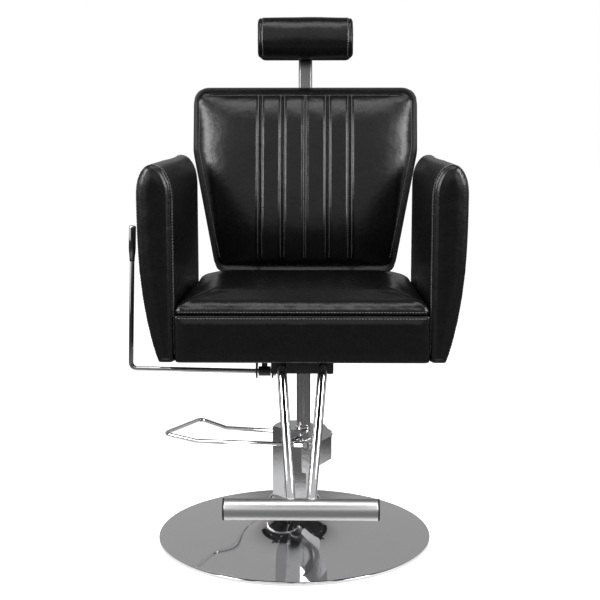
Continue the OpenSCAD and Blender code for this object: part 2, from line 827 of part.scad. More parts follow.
module swivel_hub() {
    bevel = 2;
    rim = swivel_flange_d / 2;
    step = swivel_h - swivel_flange_t;
    low = plate_z - swivel_h - over;
    color(black_steel) difference() {
        translate([0, 0, plate_z - swivel_h]) rotate_extrude() polygon([[0, 0], [swivel_d / 2 - bevel, 0],
            [swivel_d / 2, bevel], [swivel_d / 2, step], [rim, step], [rim, swivel_h], [0, swivel_h]]);
        translate([0, 0, low]) cylinder(d = piston_d + 2 * fit, h = piston_top - low);
        at_swivel_bolts() translate([0, 0, flange_z - over])
            cylinder(d = swivel_bolt_d + 2 * fit, h = swivel_flange_t + 2 * over);
    }
}

module swivel_bolts() {
    color(steel) at_swivel_bolts() translate([0, 0, flange_z])
        bolt(swivel_bolt_d, seat_bottom - flange_z, bolt_af, bolt_head);
}

module at_seat_screws() {
    inset = 14;
    for (x = [-1, 1], y = [-1, 1])
        translate([x * (seat_plate_w / 2 - inset), y * (seat_plate_l / 2 - inset), plate_z]) children();
}

module seat_plate() {
    corner = 18;
    color(black_steel) difference() {
        translate([0, 0, plate_z])
            linear_extrude(seat_plate_t) round_rect(seat_plate_w, seat_plate_l, corner);
        at_swivel_bolts() translate([0, 0, plate_z - over])
            cylinder(d = swivel_bolt_d + 2 * fit, h = seat_plate_t + 2 * over);
        at_seat_screws() screw_hole();
    }
}

module seat_screws() {
    color(steel) {
        at_seat_screws() screw();
        at_strap_screws() screw();
        at_frame_screws() screw();
    }
}

// ---- seat and arms ----

seat_mid = seat_l / 2 - seat_front;

module seat_box() {
    color(leather) difference() {
        translate([0, seat_mid, seat_bottom])
            linear_extrude(seat_box_h) round_rect(seat_w - 2 * side_gap, seat_l, seat_corner_r);
        at_seat_screws() screw_hole();
        at_strap_screws() screw_hole();
        at_frame_screws() screw_hole();
        at_clamp_bolts() cylinder(d = screw_d + 2 * fit, h = clamp_bolt_len + fit);
    }
}

// Points round a rectangle with corner radius r, n to each corner
function rect_ring(w, l, r, n, z) = [for (c = [0 : 3], i = [0 : n]) let (a = 90 * c + 90 * i / n,
    sx = (c == 0 || c == 3) ? 1 : -1, sy = c < 2 ? 1 : -1)
    [sx * (w / 2 - r) + r * cos(a), sy * (l / 2 - r) + r * sin(a), z]];

// A crowned cushion: a waist at the seam, a rolled edge, then a low dome
module seat_cushion() {
    w = seat_w - 2 * side_gap;
    h = seat_cushion_h;
    wall = 0.22;
    swell = 0.16;
    corner = 12;
    roll = [for (a = [0 : 15 : 75]) [seat_roll * (1 - cos(a)), h * (wall + (1 - wall - swell) * sin(a))]];
    crown = [for (t = [0.45, 0.9, 1.5, 2.4, 3.6]) [seat_roll * (1 + t), h * (1 - swell * exp(-t * 1.1))]];
    steps = concat([[1.5, 0], [0.3, h * 0.08]], roll, crown);
    color(leather) translate([0, seat_mid, cushion_z + soft_gap])
        skin([for (s = steps) rect_ring(w - 2 * s[0], seat_l - 2 * s[0], corner + s[0] / 4, 6, s[1])]);
}

// Outer edge of an arm's section at height z, from the seat's side
function arm_outer(z) = let (t = (z - seat_bottom) / (arm_wide_z - seat_bottom))
    arm_w - (arm_w - arm_foot_w) * pow(1 - t, arm_belly);

// Section of an arm with its top at height top, going up the outside and down the inside
function arm_section(top) = concat(
    [for (i = [0 : 8]) let (z = seat_bottom + (arm_wide_z - seat_bottom) * i / 8) [arm_outer(z), z]],
    [for (a = [15 : 15 : 90])
        [arm_crest + (arm_w - arm_crest) * cos(a), arm_wide_z + (top - arm_wide_z) * sin(a)]],
    [for (a = [105 : 15 : 180]) [arm_crest + arm_crest * cos(a), top - arm_round_in * (1 - sin(a))]],
    [for (i = [3 : -1 : 0]) [0, seat_bottom + (top - arm_round_in - seat_bottom) * i / 4]]);

// One ring of an arm at depth y from its front, drawn in by k on every side
function arm_ring(y, k) = let (top = arm_top_front + (arm_top_rear - arm_top_front) * y / seat_l,
    mid = [arm_w / 2, (seat_bottom + top) / 2], hz = (top - seat_bottom) / 2)
    [for (p = arm_section(top)) [mid.x + (p.x - mid.x) * (1 - k / mid.x), y,
        max(seat_bottom, mid.y + (p.y - mid.y) * (1 - k / hz))]];

module arm() {
    l = seat_l;
    steps = [[0, 7], [1.5, 2.5], [4, 0.4], [7, 0], [9, arm_seam], [12, arm_seam], [15, 0],
        [l / 2, 0], [l - 8, 0], [l - 2, 1.5], [l, 6]];
    difference() {
        translate([seat_w / 2, -seat_front, 0]) skin([for (s = steps) arm_ring(s[0], s[1])]);
        at_arm_screws() screw_hole();
    }
}

module arm_right() {
    color(leather) arm();
}

module arm_left() {
    color(leather) mirror([1, 0, 0]) arm();
}

strap_ys = [strap_front - seat_front, strap_rear - seat_front];

module at_arm_screws() {
    for (x = [-1, 1], y = strap_ys)
        translate([x * (seat_w / 2 + arm_foot_w / 2), y + strap_w / 2, seat_bottom - strap_t]) children();
}

module at_strap_screws() {
    for (x = [-1, 1], y = strap_ys)
        translate([x * seat_w * 0.35, y + strap_w / 2, seat_bottom - strap_t]) children();
}

module arm_straps() {
    inset = 4;
    half = seat_w / 2 + arm_foot_w - inset;
    color(black_steel) difference() {
        for (y = strap_ys) translate([-half, y, seat_bottom - strap_t]) cube([2 * half, strap_w, strap_t]);
        at_arm_screws() screw_hole();
        at_strap_screws() screw_hole();
    }
}

module arm_screws() {
    color(steel) at_arm_screws() screw();
}

// ---- footrest ----

clamp_y = seat_front - leg_inside + clamp_l / 2 + clamp_in;
clamp_low = leg_z - leg_d / 2 - clamp_wall;

module at_clamp_bolts() {
    inset = 7;
    for (x = [-1 : 1]) translate([x * (clamp_w / 2 - inset), -clamp_y, clamp_low]) children();
}

module leg_clamp() {
    color(black_steel) difference() {
        translate([-clamp_w / 2, -clamp_y - clamp_l / 2, clamp_low])
            cube([clamp_w, clamp_l, seat_bottom - clamp_low]);
        for (x = [-leg_gap_top / 2, leg_gap_top / 2])
            run([x, -clamp_y + clamp_l, leg_z], [x, -clamp_y - clamp_l, leg_z], leg_d / 2 + fit);
        at_clamp_bolts() translate([0, 0, -over]) cylinder(d = screw_d + 2 * fit, h = clamp_bolt_len);
    }
}

module clamp_bolts() {
    color(steel) at_clamp_bolts() bolt(screw_d, clamp_bolt_len, screw_af, screw_head);
}

function leg_path(s) = [[s * leg_gap_top / 2, -seat_front + leg_inside, leg_z],
    [s * leg_gap_top / 2, -foot_bar_y + leg_lean, leg_z], [s * leg_gap_low / 2, -foot_bar_y, foot_bar_z]];

module footrest_leg_left() {
    color(chrome) swept_tube(leg_path(-1), leg_bend_r, leg_d, leg_wall);
}

module footrest_leg_right() {
    color(chrome) swept_tube(leg_path(1), leg_bend_r, leg_d, leg_wall);
}

module foot_bar() {
    color(chrome) difference() {
        translate([-foot_bar_len / 2, -foot_bar_y, foot_bar_z]) rotate([0, 90, 0]) difference() {
            cylinder(d = foot_bar_d, h = foot_bar_len);
            translate([0, 0, -over])
                cylinder(d = foot_bar_d - 2 * foot_bar_wall, h = foot_bar_len + 2 * over);
        }
        for (s = [-1, 1]) run(leg_path(s)[2], leg_path(s)[1], leg_d / 2 + fit);
    }
}

module foot_bar_caps() {
    inside = 8;
    color(rubber) for (s = [-1, 1])
        translate([s * foot_bar_len / 2, -foot_bar_y, foot_bar_z]) rotate([0, s * 90, 0]) {
            cylinder(d = foot_bar_d, h = foot_cap_t);
            translate([0, 0, -inside]) cylinder(d = foot_bar_d - 2 * (foot_bar_wall + fit), h = inside);
        }
}

// ---- recline lever ----

module lever_bracket() {
    half = ear_gap / 2;
    back = web_y + ear_t;
    heel = 12;
    low = gas_z - 9;
    color(black_steel) translate([gas_x, 0, 0]) difference() {
        union() {
            for (x = [-half - ear_t, half]) side_plate(x, ear_t) {
                polygon([[-lever_y - ear_w / 2, lever_z], [-lever_y + ear_w / 2, lever_z],
                    [back, lever_z + heel], [back, plate_z], [-lever_y - ear_w / 2, plate_z]]);
                translate([-lever_y, lever_z]) circle(d = ear_w);
            }
            translate([-half, web_y, low]) cube([ear_gap, ear_t, plate_z - low]);
        }
        translate([-ear_gap, -lever_y, lever_z]) rotate([0, 90, 0])
            cylinder(d = lever_d + 2 * fit, h = 2 * ear_gap);
        translate([0, web_y - over, gas_z]) rotate([-90, 0, 0]) cylinder(d = gas_rod_d, h = ear_t + 2 * over);
    }
}

lever_end = gas_x + ear_gap / 2 + ear_t + side_gap + bolt_head + shaft_proud;
elbow_x = gas_x - ear_gap / 2 - ear_t - elbow_out;
rod_x = elbow_x + lever_bend_r / 2;

module lever_shaft() {
    color(chrome) run([lever_end, -lever_y, lever_z], [rod_x, -lever_y, lever_z], lever_d / 2);
}

module lever_rod() {
    color(chrome) swept_bar([[rod_x, -lever_y, lever_z], [elbow_x, -lever_y, lever_z],
        [-lever_x, -lever_y, lever_z + lever_rise], [-lever_x, -lever_y, lever_top - grip_roof]],
        lever_bend_r, lever_d);
}

module lever_grip() {
    dome = 2;
    lip = 0.6;
    low = -grip_len - grip_taper;
    color(chrome) translate([-lever_x, -lever_y, lever_top]) rotate_extrude()
        polygon([[lever_d / 2, low], [lever_d / 2 + lip, low], [grip_d / 2, -grip_len], [grip_d / 2, -dome],
            [grip_d / 2 - dome, 0], [0, 0], [0, -grip_roof], [lever_d / 2, -grip_roof]]);
}

module lever_hub() {
    proud = 2;
    tip = gas_z + pin_d / 2 + proud;
    color(black_steel) translate([gas_x, -lever_y, 0]) difference() {
        union() {
            translate([-lever_hub_len / 2, 0, lever_z]) rotate([0, 90, 0])
                cylinder(d = lever_hub_d, h = lever_hub_len);
            translate([-finger_w / 2, -finger_t / 2, lever_z]) cube([finger_w, finger_t, tip - lever_z]);
        }
        translate([-lever_hub_len, 0, lever_z]) rotate([0, 90, 0])
            cylinder(d = lever_d, h = 2 * lever_hub_len);
    }
}

module lever_nut() {
    start = gas_x + ear_gap / 2 + ear_t + side_gap;
    color(steel) translate([start, -lever_y, lever_z]) rotate([0, 90, 0]) difference() {
        cylinder(d = bolt_af / cos(30), h = bolt_head, $fn = 6);
        translate([0, 0, -over]) cylinder(d = lever_d, h = bolt_head + 2 * over);
    }
}

// ---- gas spring ----

module along_gas(y) {
    translate([gas_x, y, gas_z]) rotate([-90, 0, 0]) children();
}

module release_pin() {
    color(chrome) along_gas(pin_tip) cylinder(d = pin_d, h = nut_y - pin_tip + pin_in);
}

module gas_rod() {
    room = 8;
    color(chrome) difference() {
        along_gas(nut_y) cylinder(d = gas_rod_d, h = gas_front + rod_in - nut_y);
        along_gas(nut_y - over) cylinder(d = pin_d + 2 * fit, h = pin_in + room);
    }
}

module gas_rod_nut() {
    color(steel) difference() {
        along_gas(nut_y) cylinder(d = bolt_af / cos(30), h = bolt_head, $fn = 6);
        along_gas(nut_y - over) cylinder(d = gas_rod_d, h = bolt_head + 2 * over);
    }
}

module gas_cylinder() {
    travel = 2 * crank_r * sin(swing);
    neck = 3;
    room = 6;
    color(black_steel) difference() {
        union() {
            along_gas(gas_front) rotate_extrude() polygon([[0, 0], [gas_d / 2 - neck, 0], [gas_d / 2, neck],
                [gas_d / 2, gas_len - neck], [gas_d / 2 - neck, gas_len], [0, gas_len]]);
            side_plate(gas_x - eye_t / 2, eye_t) {
                translate([eye_y, gas_z]) circle(d = eye_d);
                translate([gas_back - over, gas_z - eye_d / 4]) square([eye_y - gas_back, eye_d / 2]);
            }
        }
        along_gas(gas_front - over) cylinder(d = gas_rod_d + 2 * fit, h = rod_in + travel + room);
        side_plate(gas_x - eye_t, 2 * eye_t) {
            hole = crank_pin_d / 2 + eye_play;
            for (s = [-1, 1]) translate([eye_y, gas_z + s * eye_slot]) circle(hole);
            translate([eye_y - hole, gas_z - eye_slot]) square([2 * hole, 2 * eye_slot]);
        }
    }
}

// ---- recline hinge ----

module at_frame_screws() {
    for (x = [-1, 1]) translate([x * (ear_x - frame_screw_in), hinge_y - frame_screw_y, plate_z]) children();
}

module rear_frame() {
    near = hinge_y - frame_l;
    far = seat_l - seat_front - frame_inset;
    web = 16;
    drop = 42;
    ramp = 4;
    color(black_steel) difference() {
        union() {
            for (x = [-ears_w / 2, ear_x]) side_plate(x, hinge_ear_t) {
                polygon([[near, seat_bottom], [near, seat_bottom - web], [hinge_y, hinge_z - drop],
                    [hinge_y + hinge_r, hinge_z], [hinge_y - hinge_r, hinge_z], [far + ramp, seat_bottom]]);
                translate([hinge_y, hinge_z]) circle(hinge_r);
            }
            translate([-ears_w / 2, near, plate_z]) cube([ears_w, far - near, seat_plate_t]);
        }
        on_shaft(-ears_w) cylinder(d = hinge_d + 2 * fit, h = 2 * ears_w);
        at_frame_screws() screw_hole();
    }
}

module on_shaft(x) {
    translate([x, hinge_y, hinge_z]) rotate([0, 90, 0]) children();
}

module recline_shaft() {
    half = ears_w / 2 + side_gap + clip_t + shaft_proud;
    color(steel) on_shaft(-half) cylinder(d = hinge_d, h = 2 * half);
}

module washer(x, t) {
    on_shaft(x) difference() {
        cylinder(d = hinge_d + 2 * washer_w, h = t);
        translate([0, 0, -over]) cylinder(d = hinge_d, h = t + 2 * over);
    }
}

module hinge_bushes() {
    t = arm_gap - side_gap;
    color(rubber) for (x = [arm_x + back_arm_t, -arm_x - back_arm_t - t]) washer(x, t);
}

module shaft_clips() {
    color(steel) for (x = [ears_w / 2 + side_gap, -ears_w / 2 - side_gap - clip_t]) washer(x, clip_t);
}

// A flat link between two round ends, straight down from the origin
module link_shape(r1, r2, len) {
    a = asin((r1 - r2) / len);
    circle(r1);
    translate([0, -len]) circle(r2);
    polygon([[r1 * cos(a), -r1 * sin(a)], [r2 * cos(a), -len - r2 * sin(a)],
        [-r2 * cos(a), -len - r2 * sin(a)], [-r1 * cos(a), -r1 * sin(a)]]);
}

cheek_in = eye_t / 2 + side_gap;

module recline_crank() {
    half = cheek_in + cheek_t + over;
    color(black_steel) translate([gas_x, hinge_y, hinge_z]) rotate([swing, 0, 0]) difference() {
        for (x = [-cheek_in - cheek_t, cheek_in]) side_plate(x, cheek_t)
            link_shape(hinge_d / 2 + crank_wall, crank_pin_d / 2 + pin_wall, crank_r);
        translate([-half, 0, 0]) rotate([0, 90, 0]) {
            cylinder(d = hinge_d, h = 2 * half);
            translate([crank_r, 0, 0]) cylinder(d = crank_pin_d, h = 2 * half);
        }
    }
}

module crank_pin() {
    half = cheek_in + cheek_t + shaft_proud;
    color(steel) translate([gas_x, hinge_y, hinge_z]) rotate([swing, 0, 0])
        translate([-half, 0, -crank_r]) rotate([0, 90, 0]) cylinder(d = crank_pin_d, h = 2 * half);
}

// ---- back ----

module in_back() {
    translate([0, hinge_y, hinge_z]) rotate([-back_tilt, 0, 0]) children();
}

module at_back_screws() {
    for (s = [-1, 1], k = [0 : 2])
        translate([s * (arm_x - flange_w / 2), shell_rear + flange_t,
            back_low + back_screw_low + back_screw_gap * k]) rotate([90, 0, 0]) children();
}

module back_arms() {
    round = hinge_r * 0.875;
    side = hinge_r / 2;
    gap = 4;
    low = back_low + 2 * gap;
    tip_w = 12;
    root_w = 32;
    color(black_steel) in_back() difference() {
        for (s = [0, 1]) mirror([s, 0, 0]) {
            side_plate(arm_x, back_arm_t) {
                circle(hinge_r);
                polygon([[-round, side], [shell_rear, back_low - gap], [shell_rear, back_arm_h],
                    [shell_rear + tip_w, back_arm_h], [shell_rear + root_w, low + tip_w], [round, -side]]);
            }
            translate([arm_x - flange_w, shell_rear, low])
                cube([flange_w + over, flange_t, back_arm_h - low - side]);
        }
        translate([-ears_w, 0, 0]) rotate([0, 90, 0]) cylinder(d = hinge_d, h = 2 * ears_w);
        at_back_screws() screw_hole();
    }
}

module back_screws() {
    color(steel) in_back() at_back_screws() screw();
}

// Half the back's width at height z above its lower edge
function back_w(z) = let (rb = back_corner_low, rt = back_corner,
    w = z < shoulder_h ? back_half_low + (back_half - back_half_low) * z / shoulder_h : back_half,
    low = z < rb ? rb - sqrt(rb * rb - (rb - z) * (rb - z)) : 0,
    high = z > back_h - rt ? rt - sqrt(max(0, rt * rt - pow(z - back_h + rt, 2))) : 0) w - low - high;

// Heights at which the back's outline is sampled, denser in its corners
back_rows = concat([for (a = [0 : 22.5 : 90]) back_corner_low * (1 - cos(a))], [35, 70],
    [for (t = [1 : 3]) 70 + (shoulder_h - 70) * t / 3], [back_h - 95, back_h - 55],
    [for (a = [0 : 15 : 90]) back_h - back_corner + back_corner * sin(a)]);

function back_ring(y, k) = let (m = back_h / 2, n = len(back_rows) - 1,
    side = [for (z = back_rows) [back_w(z) * (1 - k / back_half), m + (z - m) * (1 - k / m)]])
    concat([for (p = side) [p[0], y, back_low + p[1]]],
        [for (i = [n : -1 : 0]) [-side[i][0], y, back_low + side[i][1]]]);

module back_shell() {
    edge = [[shell_rear, 9], [shell_rear - 2, 3.5], [shell_rear - 6, 0], [shell_front, 0]];
    pocket = post_low - post_down - post_room;
    color(leather) in_back() difference() {
        skin([for (e = edge) back_ring(e[0], e[1])]);
        translate([0, post_y, pocket]) linear_extrude(back_top) flat_oval(sleeve_w, sleeve_t);
        at_back_screws() screw_hole();
    }
}

// How full the cushion is at distance d from its seam
function fullness(d) = 1 - 0.62 * exp(-d / 9) - 0.38 * exp(-pow(d / 46, 2));

// Dips of the sewn channels at x
function channels(x) = sum([for (k = [-2 : 2]) exp(-pow((x - k * channel_gap) / 4, 2))]);

// Columns of the cushion's grid: tight beside each channel, then measured in from the side
channel_cols = concat([for (k = [-2 : 2]) each [for (e = [-11, -4.5, 0, 4.5, 11]) k * channel_gap + e]],
    [for (k = [-2 : 1]) (k + 0.5) * channel_gap]);
edge_cols = [0, 2.5, 7, 13, 21, 38, 62];

function sorted(v) = len(v) < 2 ? v : let (p = v[0])
    concat(sorted([for (x = v) if (x < p) x]), [p], sorted([for (x = v) if (x > p) x]));

// A pad on a grid, its face crowned and cut by the channels, closed by a flat rear
module back_cushion() {
    inner = sorted(channel_cols);
    rows = concat([0, 1.2, 4.5, 9.5, back_corner_low],
        [for (t = [0.1, 0.19, 0.36, 0.57, 0.78, 1]) t * shoulder_h],
        [for (z = [75, 45, back_corner, 19, 11, 5, 1.2, 0]) back_h - z]);
    nr = len(rows);
    nc = 2 * len(edge_cols) + len(inner);
    grid = [for (z = rows) let (w = back_w(z)) concat([for (e = edge_cols) [-w + e, z]],
        [for (x = inner) [x, z]], [for (i = [len(edge_cols) - 1 : -1 : 0]) [w - edge_cols[i], z]])];
    face = [for (row = grid) each [for (p = row) let (w = back_w(p[1]),
        full = fullness(w - abs(p[0])) * fullness(min(p[1], (back_h - p[1]) * 0.6)))
        [p[0], cushion_rear - cushion_edge - (cushion_t - cushion_edge) * full
            + channel_depth * channels(p[0]) * full * full, back_low + p[1]]]];
    loop = concat([for (i = [0 : nc - 1]) i], [for (j = [1 : nr - 1]) j * nc + nc - 1],
        [for (i = [nc - 2 : -1 : 0]) (nr - 1) * nc + i], [for (j = [nr - 2 : -1 : 1]) j * nc]);
    n0 = nr * nc;
    nl = len(loop);
    rear = [for (i = loop) [face[i].x, cushion_rear, face[i].z]];
    faces = concat([for (j = [0 : nr - 2], i = [0 : nc - 2]) let (a = j * nc + i)
        each [[a, a + nc, a + 1], [a + 1, a + nc, a + nc + 1]]],
        [for (i = [0 : nl - 1]) let (k = (i + 1) % nl)
            each [[loop[i], loop[k], n0 + i], [loop[k], n0 + k, n0 + i], [n0 + nl, n0 + i, n0 + k]]]);
    pts = concat(face, rear, [[0, cushion_rear, back_low + back_h / 2]]);
    color(leather) in_back() polyhedron(pts, faces, convexity = 8);
}

// ---- headrest ----

module post_sleeve() {
    rim = 3;
    low = back_top - sleeve_len;
    color(chrome) in_back() translate([0, post_y, 0]) difference() {
        union() {
            translate([0, 0, low]) linear_extrude(sleeve_len) flat_oval(sleeve_w, sleeve_t);
            translate([0, 0, back_top]) linear_extrude(rim) flat_oval(sleeve_w + 2 * rim, sleeve_t + rim);
        }
        translate([0, 0, low - over]) linear_extrude(sleeve_len + rim + 2 * over)
            flat_oval(post_w + 2 * fit, post_t + 2 * fit);
    }
}

module headrest_post() {
    color(chrome) in_back() translate([0, post_y, post_low])
        linear_extrude(post_len) flat_oval(post_w, post_t);
}

module at_rest_screws() {
    inset = 12;
    for (x = [-1, 1] * (rest_plate_w / 2 - inset), z = [-1, 1] * (rest_plate_h / 2 - inset))
        translate([x, rest_plate_y + rest_plate_t, rest_mid + z]) rotate([90, 0, 0]) children();
}

module headrest_plate() {
    corner = 8;
    color(chrome) in_back() difference() {
        front_plate(rest_plate_y, rest_plate_t)
            translate([0, rest_mid]) round_rect(rest_plate_w, rest_plate_h, corner);
        at_rest_screws() screw_hole();
    }
}

module headrest_screws() {
    color(steel) in_back() at_rest_screws() screw();
}

module headrest_board() {
    inset = 2;
    corner = 16;
    color(leather) in_back() difference() {
        front_plate(rest_board_y, rest_board_t) translate([0, rest_mid])
            round_rect(2 * (head_half - inset), rest_h - 2 * inset, corner);
        at_rest_screws() screw_hole();
    }
}

// Section of the headrest's cushion: a D with its bulge to the front
function rest_section(w, t) = let (edge = 10) concat(
    [for (a = [-90 : 11.25 : 90])
        [-edge - (t - edge) * pow(cos(a), 0.7), w * pow(abs(sin(a)), 0.8) * sign(a)]],
    [[0, w * 0.96], [0, 0], [0, -w * 0.96]]);

module headrest_cushion() {
    half = rest_h / 2;
    steps = [[-1, 0.8], [-0.985, 0.9], [-0.95, 0.955], [-0.9, 0.97], [-0.7, 0.98], [-0.35, 0.995], [0, 1]];
    all_steps = concat(steps, [for (i = [len(steps) - 2 : -1 : 0]) [-steps[i][0], steps[i][1]]]);
    color(leather) in_back() translate([0, rest_board_y - soft_gap, rest_mid])
        skin([for (s = all_steps)
            [for (p = rest_section(half * s[1], rest_t * s[1])) [s[0] * head_half, p[0], p[1]]]]);
}

base_cover();
foot_rubber();
floor_plate();
ballast_disc();
base_bolts();
pump_cylinder();
pump_skirt();
pump_cap();
seal_ring();
pump_head();
pump_plunger();
pedal_shaft();
pedal_hubs();
pedal_bar();
pedal_screws();
piston();
swivel_hub();
swivel_bolts();
seat_plate();
seat_screws();
seat_box();
seat_cushion();
arm_left();
arm_right();
arm_straps();
arm_screws();
leg_clamp();
clamp_bolts();
footrest_leg_left();
footrest_leg_right();
foot_bar();
foot_bar_caps();
lever_bracket();
lever_shaft();
lever_rod();
lever_grip();
lever_hub();
lever_nut();
release_pin();
gas_rod();
gas_rod_nut();
gas_cylinder();
rear_frame();
recline_shaft();
hinge_bushes();
shaft_clips();
recline_crank();
crank_pin();
back_arms();
back_screws();
back_shell();
back_cushion();
post_sleeve();
headrest_post();
headrest_plate();
headrest_screws();
headrest_board();
headrest_cushion();
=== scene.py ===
# %% [markdown]
# # A hydraulic barber chair in Blender
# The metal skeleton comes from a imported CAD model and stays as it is. This lesson dresses it:
# first the camera and the finishes, then the base and the bright tubes, then the upholstery with
# its seams and stitches, and last the studio. Every length is in metres. The sitter faces -Y and
# +Z is up.

# %% Load the frame
import math

import bmesh
import bpy
import numpy as np
from mathutils import Matrix, Vector
from mathutils.bvhtree import BVHTree
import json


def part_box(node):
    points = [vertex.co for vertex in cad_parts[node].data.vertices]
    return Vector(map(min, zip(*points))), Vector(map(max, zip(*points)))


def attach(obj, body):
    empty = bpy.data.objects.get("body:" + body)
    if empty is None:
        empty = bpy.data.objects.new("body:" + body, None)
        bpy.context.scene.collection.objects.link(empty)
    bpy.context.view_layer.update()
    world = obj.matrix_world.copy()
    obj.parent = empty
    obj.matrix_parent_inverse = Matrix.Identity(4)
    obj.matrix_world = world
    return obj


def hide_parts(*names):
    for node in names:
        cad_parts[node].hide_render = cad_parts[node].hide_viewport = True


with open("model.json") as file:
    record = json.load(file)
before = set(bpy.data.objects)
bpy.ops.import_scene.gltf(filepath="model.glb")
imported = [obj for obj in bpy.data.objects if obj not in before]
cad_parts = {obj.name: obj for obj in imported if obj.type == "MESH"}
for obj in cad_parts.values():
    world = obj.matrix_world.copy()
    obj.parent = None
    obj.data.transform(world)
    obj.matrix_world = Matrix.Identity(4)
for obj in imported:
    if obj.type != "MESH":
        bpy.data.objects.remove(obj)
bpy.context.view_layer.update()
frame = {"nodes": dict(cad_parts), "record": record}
print("CAD nodes:", len(frame["nodes"]))

# %% [markdown]
# ## Camera
# A portrait of a chair is taken from seat height with a long lens, so that the base isn't
# stretched. The lens is given in pixels for a 600 pixel frame and turned into millimetres.

# %% Camera
MM = 0.001
FRAME_PX = 600     # the frame that the lens is given for
LENS_PX = 1102.18  # the focal length in its pixels
SENSOR = 36.0      # the sensor's width in millimetres
CAMERA_AT = (0.0278, -2.3603, 0.8583)
CAMERA_DOWN = math.radians(7.94)
CAMERA_LEFT = math.radians(0.86)

bpy.ops.object.select_all(action="DESELECT")
bpy.ops.object.camera_add(location=CAMERA_AT, rotation=(math.pi / 2 - CAMERA_DOWN, 0, CAMERA_LEFT))
camera = bpy.context.object
camera.data.sensor_width = SENSOR
camera.data.lens = LENS_PX / FRAME_PX * SENSOR
bpy.context.scene.camera = camera
bpy.context.scene.view_settings.view_transform = "Standard"
print(f"camera: {camera.data.lens:.1f} mm lens, {-CAMERA_AT[1]:.2f} m in front")

# %% [markdown]
# ## Writing shaders as sums
# Long node trees are hard to read as code. This small class wraps a socket, so that
# `1 - mask * 0.5` adds the Math nodes by itself. Every other node comes from `node`.

# %% Shader helper
class Shade:
    """One output socket of a node tree, with arithmetic."""

    def __init__(self, tree, socket):
        self.tree = tree
        self.socket = socket

    def maths(self, operation, *others):
        values = [self, *others]
        return node(self.tree, "ShaderNodeMath", {"operation": operation}, dict(enumerate(values)))

    def __add__(self, other):
        return self.maths("ADD", other)

    def __mul__(self, other):
        return self.maths("MULTIPLY", other)

    def __rsub__(self, other):
        return node(self.tree, "ShaderNodeMath", {"operation": "SUBTRACT"}, {0: other, 1: self})

    __radd__ = __add__
    __rmul__ = __mul__

    def above(self, low, high):
        """0 below low, 1 above high, smooth between."""
        settings = {"interpolation_type": "SMOOTHSTEP"}
        sockets = {"Value": self, "From Min": low, "From Max": high}
        return node(self.tree, "ShaderNodeMapRange", settings, sockets)


def node(tree, kind, settings=None, sockets=None, out=0):
    """Adds a node, sets its settings first, then its sockets: a value or a link each.

    out picks the output that is handed back, by its name or its place in the list."""
    made = tree.nodes.new(kind)
    for name, value in (settings or {}).items():
        setattr(made, name, value)
    for name, value in (sockets or {}).items():
        if isinstance(value, Shade):
            tree.links.new(value.socket, made.inputs[name])
        else:
            made.inputs[name].default_value = value
    return Shade(tree, made.outputs[out]) if made.outputs else None


def new_material(name):
    """An empty node material and its tree."""
    material = bpy.data.materials.new(name)
    material.use_nodes = True
    material.node_tree.nodes.clear()
    return material, material.node_tree


def finish_material(tree, sockets):
    """Adds the Principled shader with its sockets and links it to the output."""
    shader = node(tree, "ShaderNodeBsdfPrincipled", {}, sockets)
    node(tree, "ShaderNodeOutputMaterial", {}, {"Surface": shader})


def noise(tree, place, scale, detail=2.0, rough=0.5):
    sockets = {"Vector": place, "Scale": scale, "Detail": detail, "Roughness": rough}
    return node(tree, "ShaderNodeTexNoise", {}, sockets)


def own_place(tree):
    """The place on the piece itself, which moves with it."""
    return node(tree, "ShaderNodeTexCoord", out="Object")


def stretched(tree, scale):
    """The place on the piece, drawn out along an axis by a scale per axis."""
    return node(tree, "ShaderNodeMapping", {}, {"Vector": own_place(tree), "Scale": scale})


def bump(tree, height, distance, strength=1.0, below=None):
    """A bumpy normal; below is a coarser or finer bump that it is added to."""
    sockets = {"Height": height, "Distance": distance, "Strength": strength}
    if below is not None:
        sockets["Normal"] = below
    return node(tree, "ShaderNodeBump", {}, sockets)


def mix_colour(tree, factor, dark, light):
    """A colour between two, by a mask. A Mix node has its colours at sockets 6 and 7."""
    sockets = {0: factor, 6: (*dark, 1), 7: (*light, 1)}
    return node(tree, "ShaderNodeMix", {"data_type": "RGBA"}, sockets, 2)

# %% [markdown]
# ## Leather
# Black upholstery leather is a pebbled skin: cells about a millimetre and a half across, dents of
# a centimetre, and slack folds over a few centimetres. It could be a picture of leather, but a
# pattern that is worked out at each point has no seams and stays sharp near by. Three scales of
# bump give the skin, and the roughness follows the cells and the dents.

# %% Leather
GRAIN = 1 / (1.6 * MM)
DENTS = 1 / (9 * MM)
CREASES = 1 / (28 * MM)
GRAIN_DEPTH = 0.12 * MM
DENT_DEPTH = 0.36 * MM
CREASE_DEPTH = 1.1 * MM
LEATHER_DARK = (0.002, 0.002, 0.0022)
LEATHER_LIGHT = (0.005, 0.005, 0.0054)


def make_leather():
    material, tree = new_material("black_leather")
    place = stretched(tree, (1, 1, 1))
    cells = node(tree, "ShaderNodeTexVoronoi", {"feature": "SMOOTH_F1"},
                 {"Vector": place, "Scale": GRAIN, "Smoothness": 0.6})
    soft = noise(tree, place, CREASES, 4.0, 0.6)
    mottle = noise(tree, place, DENTS, 3.0, 0.6)
    fine = bump(tree, cells, GRAIN_DEPTH, 0.7)
    creased = bump(tree, soft, CREASE_DEPTH, 0.8, fine)
    dented = bump(tree, mottle, DENT_DEPTH, 0.8, creased)
    rough = 0.20 + 0.12 * mottle + 0.06 * cells
    colour = mix_colour(tree, soft, LEATHER_DARK, LEATHER_LIGHT)
    finish_material(tree, {"Base Color": colour, "Roughness": rough, "Normal": dented,
                           "Specular IOR Level": 0.38, "Coat Weight": 0.04,
                           "Coat Roughness": 0.22})
    return material


